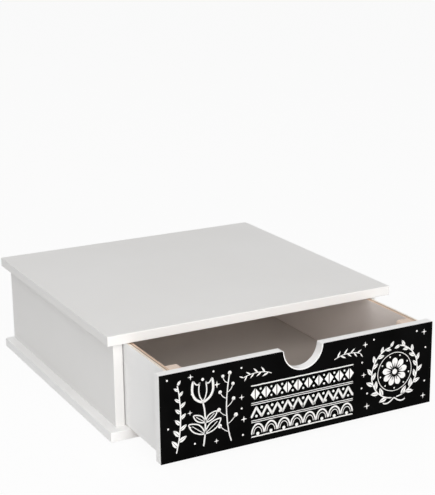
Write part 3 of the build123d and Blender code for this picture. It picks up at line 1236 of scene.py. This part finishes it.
def bend(start: Point2, pull: Point2, stop: Point2, count: int = 24) -> list[Point2]:
    """Points on a curve.

    Args:
        start: its first point.
        pull: what it is drawn towards.
        stop: its last point.
        count: how many steps it has.

    Returns:
        The points.
    """
    points = []
    for i in range(count + 1):
        t = i / count
        a, b, c = (1 - t) ** 2, 2 * t * (1 - t), t * t
        points.append(tuple(a * start[k] + b * pull[k] + c * stop[k] for k in range(2)))
    return points


@dataclass(frozen=True)
class Line:
    """One line of the drawing: its points and width in millimetres, open or closed."""

    points: Sequence[Point2]
    width: float
    closed: bool = False


def line_mesh(lines: Sequence[Line]) -> bpy.types.Mesh:
    """Lines as edges in metres, with their width and whether they close as point marks.

    Args:
        lines: the lines, in millimetres.

    Returns:
        The mesh.
    """
    places, edges, widths, rings = [], [], [], []
    for line in lines:
        first, count = len(places), len(line.points)
        places += [(x * MM, y * MM, 0.0) for x, y in line.points]
        edges += [(first + i, first + i + 1) for i in range(count - 1)]
        if line.closed:
            edges.append((first + count - 1, first))
        widths += [line.width * MM] * count
        rings += [float(line.closed)] * count
    mesh = bpy.data.meshes.new("lines")
    mesh.from_pydata(places, edges, [])
    for mark, values in ((WIDTH_MARK, widths), (RING_MARK, rings)):
        mesh.attributes.new(mark, "FLOAT", "POINT").data.foreach_set("value", values)
    return mesh


class Motif(Enum):
    """The filled motifs of the drawing."""

    LEAF = "leaf"
    BLADE = "blade"
    PETAL = "petal"
    DOT = "dot"
    DIAMOND = "diamond"
    SPARK = "spark"


@dataclass
class MotifModels:
    """Flat raised models of the motifs, at the size that a row's scale of 1 gives."""

    height: float

    def build(self) -> dict[Motif, bpy.types.Object]:
        """Builds every motif's model.

        Returns:
            The hidden models by motif.
        """
        outlines = {
            Motif.LEAF: self.leaf(9.0, 3.6, 0.5),
            Motif.BLADE: self.leaf(8.0, 1.9, 0.0),
            Motif.PETAL: self.petal(10.0, 4.4),
            Motif.DOT: [arc((0.0, 0.0), 1.0, 0.0, 345.0, 23)],
            Motif.DIAMOND: self.diamond(3.9, 4.9, 0.8),
            Motif.SPARK: self.spark(2.6, 0.7),
        }
        return {motif: self.model(motif, outline) for motif, outline in outlines.items()}

    def model(self, motif: Motif, outlines: Sequence[Sequence[Point2]]) -> bpy.types.Object:
        """One motif's model in metres; a row scales its height too, and the drawing trims that."""
        scaled = [[(x * MM, y * MM) for x, y in outline] for outline in outlines]
        return hidden_model(motif.value, prisms(motif.value, scaled, self.height))

    @staticmethod
    def leaf(length: float, width: float, slit: float) -> list[list[Point2]]:
        """Draws a pointed leaf from the origin along X.

        Args:
            length: its length.
            width: its width.
            slit: the width of the slit between its halves, or 0 for a whole leaf.

        Returns:
            One outline, or two where it has a slit.
        """
        count = 10
        belly = [(i / count, math.sin(math.pi * (i / count) ** 0.8) * width / 2) for i in range(count + 1)]
        if not slit:
            upper = [(t * length, y) for t, y in reversed(belly[1:-1])]
            lower = [(t * length, -y) for t, y in belly[1:-1]]
            return [[(0.0, 0.0), *lower, (length, 0.0), *upper]]
        halves = []
        for side in (1, -1):
            rim = [(t * length, side * (slit / 2 + y)) for t, y in belly[1:-1]]
            root, tip = (0.4, side * slit / 2), (length, side * slit / 4)
            outline = [root, tip, *reversed(rim)]
            halves.append(outline if side > 0 else outline[::-1])
        return halves

    @staticmethod
    def petal(length: float, width: float) -> list[list[Point2]]:
        """Draws a round-ended petal that starts off the origin, with a notch cut into its root.

        Args:
            length: how far it reaches.
            width: its width.

        Returns:
            The outline.
        """
        count, root, notch = 14, 2.6, 6.2
        rim = []
        for i in range(1, count):
            t = i / count
            rim.append((root + t * (length - root), width / 2 * math.sin(math.pi * t ** 1.6) ** 0.6))
        upper = [(x, y) for x, y in reversed(rim)]
        lower = [(x, -y) for x, y in rim]
        return [[(root, -0.5), *lower, (length, 0.0), *upper, (root, 0.5), (notch, 0.22), (notch, -0.22)]]

    @staticmethod
    def diamond(half_width: float, half_height: float, slit: float) -> list[list[Point2]]:
        """Draws a diamond split down its middle.

        Args:
            half_width: half its width.
            half_height: half its height.
            slit: the width of the split.

        Returns:
            The two halves' outlines.
        """
        gap = slit / 2
        cut = half_height * (1 - gap / half_width)
        right = [(gap, -cut), (half_width, 0.0), (gap, cut)]
        left = [(-x, y) for x, y in reversed(right)]
        return [right, left]

    @staticmethod
    def spark(reach: float, waist: float) -> list[list[Point2]]:
        """Draws a four-pointed spark.

        Args:
            reach: how far its points reach.
            waist: how far the corners between them do.

        Returns:
            The outline.
        """
        corners = []
        for i in range(8):
            radius = waist if i % 2 else reach
            corners.append((radius * math.cos(math.pi * i / 4), radius * math.sin(math.pi * i / 4)))
        return [corners]


@dataclass(frozen=True)
class Row:
    """Motifs along a line: which, how far apart, how large from start to end, and how they lean."""

    motif: Motif
    path: Sequence[Point2]
    spacing: float
    size: float = 1.0
    end_size: float = 1.0
    lean: float = 0.0
    start: float = -1.0
    waver: float = 0.06

    @classmethod
    def single(cls, motif: Motif, x: float, y: float, size: float, turn: float = 0.0) -> "Row":
        """Sets one motif at a place: a short path that keeps only its end.

        Args:
            motif: the motif.
            x: how far it is from the sheet's middle.
            y: how high it is on the sheet.
            size: its scale.
            turn: the angle that it points along, in degrees.

        Returns:
            The row of one.
        """
        step = 0.5
        back = (x - step * math.cos(math.radians(turn)), y - step * math.sin(math.radians(turn)))
        return cls(motif, [back, (x, y)], step, size, size, start=0.9, waver=0.0)


@dataclass
class ChalkDrawing:
    """A plain folk pattern in chalk white: sprigs at the left, bands in the middle, a wreath at the right.

    Places are millimetres on the printed sheet: X from its middle, Y up from its bottom edge.
    """

    sheet: str
    ink: float
    material: bpy.types.Material
    line_tree: bpy.types.NodeTree
    row_tree: bpy.types.NodeTree
    fine: float = 0.65
    plain: float = 1.1
    bold: float = 2.1
    band_half: float = 51.0
    lines: list[Line] = field(default_factory=list)
    rows: list[Row] = field(default_factory=list)

    def build(self) -> bpy.types.Object:
        """Draws everything and makes one piece of it.

        Returns:
            The piece.
        """
        self.draw_sprigs()
        self.draw_bands()
        self.draw_wreath()
        self.draw_fillers()
        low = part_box(self.sheet)[0]
        place = {"Face": low.y + self.ink, "Bottom": low.z, "Material": self.material}
        meshes = [run_tree(self.line_tree, line_mesh(self.lines), {"Depth": self.ink, **place})]
        models = MotifModels(self.ink).build()
        for seed, row in enumerate(self.rows):
            meshes.append(run_tree(self.row_tree, line_mesh([Line(row.path, self.fine)]), {
                "Motif": models[row.motif], "Spacing": row.spacing * MM, "Size": row.size,
                "End Size": row.end_size, "Lean": math.radians(row.lean), "Start": row.start,
                "Size Waver": row.waver, "Seed": seed, **place,
            }))
        mesh = joined("front_chalk_drawing", meshes)
        for vert in mesh.vertices:
            vert.co.y = max(vert.co.y, low.y)
        for model in models.values():
            bpy.data.objects.remove(model)
        return place_piece("front_chalk_drawing", mesh, Body.DRAWER)

    def draw_sprigs(self) -> None:
        """Three upright sprigs: narrow leaves, a bell flower and berries."""
        narrow = bend((-121.0, 7.0), (-113.0, 36.0), (-119.0, 66.0))
        self.lines.append(Line(narrow, self.plain))
        self.rows.append(Row(Motif.LEAF, narrow, 4.6, 0.95, 0.55, lean=48.0, start=0.08))
        self.draw_bell((-96.0, 8.0), (-92.0, 30.0), (-96.0, 47.0))
        self.draw_berries(bend((-70.0, 7.0), (-78.0, 34.0), (-71.0, 68.0)))

    def draw_berries(self, stem: Sequence[Point2], twigs: int = 7) -> None:
        """A stem with a berry at its end and at the end of each twig, which get shorter upwards.

        Args:
            stem: the stem's points.
            twigs: how many twigs leave it, left and right in turn.
        """
        self.lines.append(Line(stem, self.plain))
        for i in range(twigs):
            x, y = stem[4 + i * 3 - (i > 4)]
            side = 1 if i % 2 else -1
            tip = (x + side * (8.5 - i * 0.6), y + 6.5)
            self.lines.append(Line(bend((x, y), (x + side * 4.0, y + 1.0), tip, 8), self.fine))
            self.rows.append(Row.single(Motif.DOT, *tip, 1.9 - i * 0.08))
        self.rows.append(Row.single(Motif.DOT, *stem[-1], 1.7))

    def draw_bell(self, root: Point2, pull: Point2, neck: Point2) -> None:
        """A bell flower on a stem with two broad leaves.

        Args:
            root: where the stem starts.
            pull: what the stem bends towards.
            neck: where the flower sits.
        """
        stem = bend(root, pull, neck)
        self.lines.append(Line(stem, self.plain + 0.3))
        x, y = neck
        for side in (-1, 1):
            cup = bend((x, y), (x + side * 13.0, y + 4.0), (x + side * 8.5, y + 20.0))
            self.lines.append(Line(cup, self.bold))
            inner = bend((x, y + 1.0), (x + side * 5.5, y + 7.0), (x + side * 2.6, y + 18.0))
            self.lines.append(Line(inner, self.plain))
            rim = bend((x + side * 8.5, y + 20.0), (x + side * 5.0, y + 13.0), (x + side * 2.6, y + 18.0))
            self.lines.append(Line(rim, self.plain))
            for start, reach in ((6, 15.0), (12, 11.0)):
                self.draw_broad_leaf(stem[start], side * reach, reach)
        self.rows.append(Row.single(Motif.DOT, x, y + 20.0, 1.3))

    def draw_broad_leaf(self, root: Point2, across: float, rise: float) -> None:
        """A broad leaf in outline with a vein.

        Args:
            root: where it leaves the stem.
            across: how far it reaches sideways, with its sign.
            rise: how long it is; its tip is three quarters of that up.
        """
        x, y = root
        tip = (x + across, y + rise * 0.75)
        upper = bend(root, (x + across * 0.15, y + rise * 0.75), tip)
        lower = bend(root, (x + across * 0.85, y + rise * 0.05), tip)
        vein = bend(root, (x + across * 0.5, y + rise * 0.38), (x + across * 0.78, y + rise * 0.6))
        self.lines += [Line(upper, self.plain), Line(lower, self.plain), Line(vein, self.fine)]

    def draw_bands(self) -> None:
        """Stacked bands between rules: diamonds and dots, a bold zigzag, and arches."""
        half = self.band_half
        rules = (
            (52.0, self.plain), (36.5, self.fine), (34.9, self.fine),
            (20.6, self.fine), (19.0, self.fine), (6.0, self.plain),
        )
        for height, width in rules:
            self.lines.append(Line([(-half, height), (half, height)], width))
        self.draw_diamonds(middle=44.3, count=9, inset=4.0, dot_offset=3.9)
        self.draw_zigzag(low=23.4, high=32.1, teeth=10, dot_inset=(0.9, 0.7))
        self.draw_arches(foot=8.2, count=8, stretch=1.5)

    def draw_diamonds(self, middle: float, count: int, inset: float, dot_offset: float) -> None:
        """A row of diamonds with a dot above and below each gap.

        Args:
            middle: the row's height on the sheet.
            count: how many steps lie between the first and the last diamond.
            inset: how far these two stay back from the band's ends.
            dot_offset: how far the dots are above and below the middle.
        """
        reach = self.band_half - inset
        pitch = 2 * reach / count
        self.rows.append(Row(Motif.DIAMOND, [(-reach, middle), (reach, middle)], pitch, 1.12, 1.12))
        inner = reach - pitch / 2
        for height in (middle - dot_offset, middle + dot_offset):
            self.rows.append(Row(Motif.DOT, [(-inner, height), (inner, height)], pitch, 0.95, 0.95))

    def draw_zigzag(self, low: float, high: float, teeth: int, dot_inset: Point2) -> None:
        """A bold zigzag with a dot in each bay, below and above it.

        Args:
            low: the height of its lower corners.
            high: the height of its upper corners.
            teeth: how many upper corners it has.
            dot_inset: how far inside these heights the lower and the upper dots are.
        """
        half = self.band_half
        step = 2 * half / teeth
        zigzag = []
        for i in range(teeth):
            zigzag += [(-half + i * step, low), (-half + (i + 0.5) * step, high)]
        zigzag.append((half, low))
        self.lines.append(Line(zigzag, self.bold))
        for height, back in ((low + dot_inset[0], step / 2), (high - dot_inset[1], step)):
            ends = [(-half + back, height), (half - back, height)]
            self.rows.append(Row(Motif.DOT, ends, step, 1.15, 1.15))

    def draw_arches(self, foot: float, count: int, stretch: float) -> None:
        """A row of double arches, each with a dot at its foot.

        Args:
            foot: the height of their feet.
            count: how many there are.
            stretch: how much taller they are than half circles.
        """
        wide = 2 * self.band_half / count
        for i in range(count):
            middle = (-self.band_half + (i + 0.5) * wide, foot)
            for radius, width in ((wide * 0.46, self.plain + 0.4), (wide * 0.31, self.fine)):
                round_arch = arc(middle, radius, 0.0, 180.0)
                tall = [(x, foot + (y - foot) * stretch) for x, y in round_arch]
                self.lines.append(Line(tall, width))
            self.rows.append(Row.single(Motif.DOT, *middle, 1.5))

    def draw_wreath(self) -> None:
        """A round wreath of two leafy branches with a daisy in the middle and a tie below."""
        middle, radius, petals = (95.0, 37.0), 24.5, 9
        for start, stop in ((-84.0, 78.0), (-96.0, -258.0)):
            branch = arc(middle, radius, start, stop, 48)
            self.lines.append(Line(branch, self.plain))
            self.rows.append(Row(Motif.LEAF, branch, 5.1, 1.0, 0.7, lean=38.0, start=0.03))
        for i in range(petals):
            turn = 90.0 + i * 360.0 / petals
            self.rows.append(Row.single(Motif.PETAL, *middle, 1.32, turn))
            beyond = arc(middle, 15.4, turn + 180.0 / petals, turn + 180.0 / petals, 1)[0]
            self.rows.append(Row.single(Motif.DOT, *beyond, 0.75))
        self.lines.append(Line(arc(middle, 18.0, 0.0, 354.0, 59), self.fine, closed=True))
        self.rows.append(Row.single(Motif.DOT, *middle, 2.5))
        x, y = middle[0], middle[1] - radius
        for side in (-1, 1):
            tie = bend((x, y), (x + side * 8, y - 7), (x + side * 12, y - 3))
            self.lines.append(Line(tie, self.plain + 0.2))

    def draw_fillers(self) -> None:
        """Small sparks, dots and short sprigs in what is left."""
        for side in (-1, 1):
            start, pull, stop = (side * 31.0, 60.0), (side * 44.0, 66.0), (side * 58.0, 61.0)
            twig = bend(start, pull, stop)
            self.lines.append(Line(twig, self.fine))
            self.rows.append(Row(Motif.BLADE, twig, 3.1, 0.85, 0.6, lean=42.0, start=0.05))
        sparks = (
            (-107.0, 71.0, 1.0), (-83.0, 60.0, 1.2), (-108.0, 40.0, 0.9), (-84.0, 10.0, 0.9),
            (-60.0, 44.0, 1.0), (-58.0, 24.0, 1.2), (63.0, 68.0, 1.1), (66.0, 10.0, 1.2),
            (126.0, 69.0, 1.1), (127.0, 8.0, 1.1), (62.0, 40.0, 1.0),
        )
        for x, y, size in sparks:
            self.rows.append(Row.single(Motif.SPARK, x, y, size))
        dots = (
            (-128.0, 72.0), (-106.0, 56.0), (-104.0, 12.0), (-128.0, 30.0), (-60.0, 70.0),
            (-59.0, 10.0), (-60.0, 34.0), (66.0, 22.0), (60.0, 52.0), (72.0, 71.0), (118.0, 71.0),
            (128.0, 54.0), (128.0, 22.0), (60.0, 28.0), (-86.0, 72.0), (-108.0, 27.0),
        )
        for x, y in dots:
            self.rows.append(Row.single(Motif.DOT, x, y, 0.85))


# ------------------------------------------------------------------ camera, light and floor
@dataclass(frozen=True)
class Viewpoint:
    """The photograph's viewpoint, solved from the stand's edges: place, angles and focal length."""

    place: tuple[float, float, float] = (-0.52623, -1.02598, 0.45611)
    yaw: float = 27.759
    pitch: float = 15.663
    roll: float = -0.670
    focal_px: float = 1251.5
    long_side_px: float = 495.0
    sensor: float = 36.0

    def build(self) -> bpy.types.Object:
        """Makes the camera and sets it as the scene's.

        Returns:
            The camera.
        """
        yaw, pitch, roll = (math.radians(a) for a in (self.yaw, self.pitch, self.roll))
        ahead = Vector((math.sin(yaw) * math.cos(pitch), math.cos(yaw) * math.cos(pitch), -math.sin(pitch)))
        level = Vector((math.cos(yaw), -math.sin(yaw), 0.0))
        above = level.cross(ahead)
        right = level * math.cos(roll) + above * math.sin(roll)
        up = above * math.cos(roll) - level * math.sin(roll)
        data = bpy.data.cameras.new("camera")
        data.sensor_width = self.sensor
        data.lens = self.focal_px / self.long_side_px * self.sensor
        data.clip_start, data.clip_end = 0.05, 30.0
        camera = bpy.data.objects.new("camera", data)
        turn = Matrix((right, up, -ahead)).transposed().to_4x4()
        camera.matrix_world = Matrix.Translation(self.place) @ turn
        bpy.context.scene.collection.objects.link(camera)
        bpy.context.scene.camera = camera
        return camera


@dataclass(frozen=True)
class SoftBox:
    """A square lamp aimed at a point."""

    name: str
    place: tuple[float, float, float]
    side: float
    power: float
    target: tuple[float, float, float] = (0.0, -0.03, 0.05)
    colour: Colour = (1.0, 1.0, 1.0)

    def build(self) -> bpy.types.Object:
        """Hangs the lamp.

        Returns:
            The lamp.
        """
        data = bpy.data.lights.new(self.name, "AREA")
        data.shape, data.size, data.energy = "SQUARE", self.side, self.power
        data.color = self.colour
        lamp = bpy.data.objects.new(self.name, data)
        lamp.location = self.place
        aim = Vector(self.target) - Vector(self.place)
        lamp.rotation_euler = aim.to_track_quat("-Z", "Y").to_euler()
        bpy.context.scene.collection.objects.link(lamp)
        return lamp


@dataclass
class Studio:
    """A pale floor, a white surround and soft lamps at a plain level."""

    floor_half: float = 6.0
    floor_tone: float = 0.82
    floor_glow: float = 0.94
    ambient: float = 0.22
    lamps: list[SoftBox] = field(default_factory=lambda: [
        SoftBox("front_lamp", (-0.32, -2.3, 1.0), 1.9, 54.0, colour=(1.0, 0.98, 0.965)),
        SoftBox("left_lamp", (-2.0, -1.3, 1.0), 1.9, 5.0),
        SoftBox("top_lamp", (0.1, -0.1, 2.2), 2.2, 5.0),
        SoftBox("corner_lamp", (-1.3, 0.1, 1.9), 1.6, 8.5),
    ])

    def build(self) -> None:
        """Builds the floor, the world and the lamps."""
        self.build_floor()
        self.build_world()
        for lamp in self.lamps:
            lamp.build()
        bpy.context.scene.view_settings.view_transform = "Standard"

    def seen(self, tree: NodeTree) -> bpy.types.NodeSocket:
        """Tells camera rays, straight, mirrored or through glass, from the light's own.

        Args:
            tree: the tree that asks.

        Returns:
            1 for what the camera sees, otherwise 0.
        """
        path = tree.add("ShaderNodeLightPath")
        seen = tree.math("MAXIMUM", path.outputs["Is Camera Ray"], path.outputs["Is Glossy Ray"])
        return tree.math("MAXIMUM", seen, path.outputs["Is Transmission Ray"])

    def build_floor(self) -> None:
        """A wide floor that looks nearly white and still takes the object's shadow."""
        half = self.floor_half
        mesh = bpy.data.meshes.new("floor")
        corners = [(-half, -half, 0), (half, -half, 0), (half, half, 0), (-half, half, 0)]
        mesh.from_pydata(corners, [], [(0, 1, 2, 3)])
        floor = bpy.data.objects.new("floor", mesh)
        bpy.context.scene.collection.objects.link(floor)
        material = bpy.data.materials.new("floor_paper")
        material.use_nodes = True
        tree = NodeTree(material.node_tree)
        shader = tree.tree.nodes["Principled BSDF"]
        shader.inputs["Base Color"].default_value = rgba((self.floor_tone,) * 3)
        shader.inputs["Roughness"].default_value = 0.9
        shader.inputs["Specular IOR Level"].default_value = 0.0
        glow = tree.add("ShaderNodeEmission", {"Color": (1.0, 1.0, 1.0, 1.0), "Strength": 1.0})
        share = tree.math("MULTIPLY", self.seen(tree), self.floor_glow)
        mixed = tree.add("ShaderNodeMixShader", {0: share, 1: shader.outputs[0], 2: glow.outputs[0]})
        tree.link(mixed.outputs[0], tree.tree.nodes["Material Output"].inputs["Surface"])
        mesh.materials.append(material)

    def build_world(self) -> None:
        """A white surround that lights the object at a lower level than it is seen."""
        world = bpy.data.worlds.new("surround")
        world.use_nodes = True
        bpy.context.scene.world = world
        tree = NodeTree(world.node_tree)
        background = tree.tree.nodes["Background"]
        background.inputs["Color"].default_value = (1.0, 1.0, 1.0, 1.0)
        extra = tree.math("MULTIPLY", self.seen(tree), 1.0 - self.ambient)
        tree.link(tree.math("ADD", extra, self.ambient), background.inputs["Strength"])


# ------------------------------------------------------------------ assembly
@dataclass
class Finishes:
    """The finishes of the whole object."""

    shared: SharedEffects

    def build(self) -> dict[str, bpy.types.Material]:
        """Builds every finish.

        Returns:
            The materials by name.
        """
        low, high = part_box("drawer_right_wall")
        finishes = [
            Lacquer("white_lacquer"),
            # Painted light: a brighter copy of the same white lacquer, which lifts the base, the drawer
            # front and the drawer walls' outer faces where the lamps leave them too dark.
            Lacquer(
                "painted_light_lacquer", colour=(0.95, 0.95, 0.945), shade=(0.935, 0.935, 0.93),
                worn=(0.88, 0.87, 0.85), roughness=0.38,
            ),
            Lacquer(
                "inner_face", colour=(0.91, 0.85, 0.81), shade=(0.88, 0.81, 0.77),
                worn=(0.5, 0.42, 0.37), roughness=0.6, coat=0.0,
            ),
            Lacquer(
                "floor_face", colour=(0.66, 0.61, 0.57), shade=(0.62, 0.57, 0.53),
                worn=(0.5, 0.42, 0.37), roughness=0.55, coat=0.0,
            ),
            SawnBoard(
                "ply_edge", light=(0.76, 0.58, 0.45), dark=(0.62, 0.45, 0.34),
                core_middle=(low.x + high.x) / 2, core_half=0.5 * MM,
            ),
            SawnBoard("raw_board", light=(0.88, 0.74, 0.64), dark=(0.76, 0.61, 0.51)),
            SawnBoard("hardboard_back", light=(0.40, 0.26, 0.17), dark=(0.30, 0.19, 0.12)),
            PrintFilm("print_film"),
            ChalkInk("chalk_ink"),
            PlatedSteel("zinc_steel"),
            PadRubber("pad_rubber"),
            SawnBoard(
                "beech", light=(0.66, 0.46, 0.28), dark=(0.52, 0.34, 0.20), stretch=(1.0, 1.0, 0.15),
            ),
        ]
        return {finish.name: finish.build(self.shared) for finish in finishes}


@dataclass
class Stand:
    """The fixed stand: two plates, two sides and a back."""

    finishes: dict[str, bpy.types.Material]

    def build(self) -> None:
        """Builds the boards of the stand."""
        white = [self.finishes["white_lacquer"]]
        for node in ("top_panel", "left_side_panel", "right_side_panel", "back_panel"):
            Board(node, Body.STAND, "white_lacquer", white).build()
        # The base panel wears the brighter copy of the white lacquer: painted light.
        Board("base_panel", Body.STAND, "white_lacquer", [self.finishes["painted_light_lacquer"]]).build()


@dataclass
class Drawer:
    """The drawer: printed front, scooped board, walls and floor."""

    finishes: dict[str, bpy.types.Material]
    ink: float = 0.05 * MM
    ease: float = 0.3 * MM

    def build(self) -> None:
        """Builds the boards of the drawer and the printed sheet."""
        made = self.finishes
        # The drawer front wears the brighter copy of the white lacquer: painted light on its faces and
        # edges.
        Board("drawer_front_panel", Body.DRAWER, "white_lacquer", [made["painted_light_lacquer"]]).build()
        Board(
            "front_print_sheet", Body.DRAWER, "print_film", [made["print_film"]], front_drawn_in=self.ink,
        ).build()
        Board("drawer_inner_front", Body.DRAWER, "raw_board", [made["raw_board"]], ease=self.ease).build()
        for side, node in ((-1, "drawer_left_wall"), (1, "drawer_right_wall")):
            self.build_wall(node, side)
        Board("drawer_back_wall", Body.DRAWER, "drawer_board", [made["inner_face"]], ease=self.ease).build()
        Board(
            "drawer_floor", Body.DRAWER, "floor_board", [made["floor_face"], made["hardboard_back"]],
            picker=lambda face: int(face.normal.z < FACING),
        ).build()

    def build_wall(self, node: str, side: int) -> None:
        """A drawer wall: lacquered outside, plain inside and raw along its edges.

        Args:
            node: the wall's CAD node.
            side: -1 for the left wall, 1 for the right.
        """
        def finish_of(face: bmesh.types.BMFace) -> int:
            """Picks a finish.

            Args:
                face: a face of the wall.

            Returns:
                0 on the outer face, 1 on the inner face and 2 on every edge.
            """
            outward = face.normal.x * side
            if abs(outward) < FACING:
                return 2
            return 0 if outward > 0 else 1

        made = self.finishes
        # The outer face wears the brighter copy of the white lacquer: painted light.
        materials = [made["painted_light_lacquer"], made["inner_face"], made["ply_edge"]]
        Board(node, Body.DRAWER, "drawer_board", materials, ease=self.ease, picker=finish_of).build()


def main() -> None:
    """Builds the pieces in order, then the camera, the lamps and the floor."""
    logging.basicConfig(level=logging.INFO, format="%(name)s: %(message)s")
    Viewpoint().build()
    finishes = Finishes(SharedEffects()).build()
    Stand(finishes).build()
    drawer = Drawer(finishes)
    drawer.build()
    ChalkDrawing(
        "front_print_sheet", drawer.ink, finishes["chalk_ink"], build_line_tree(), build_row_tree(),
    ).build()
    Hardware(
        build_fastener_tree(), finishes["zinc_steel"], finishes["beech"], finishes["pad_rubber"],
    ).build()
    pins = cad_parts["drawer_corner_pins"]
    pins.data.materials.clear()
    pins.data.materials.append(finishes["zinc_steel"])
    Studio().build()


if __name__ == "__main__":
    main()
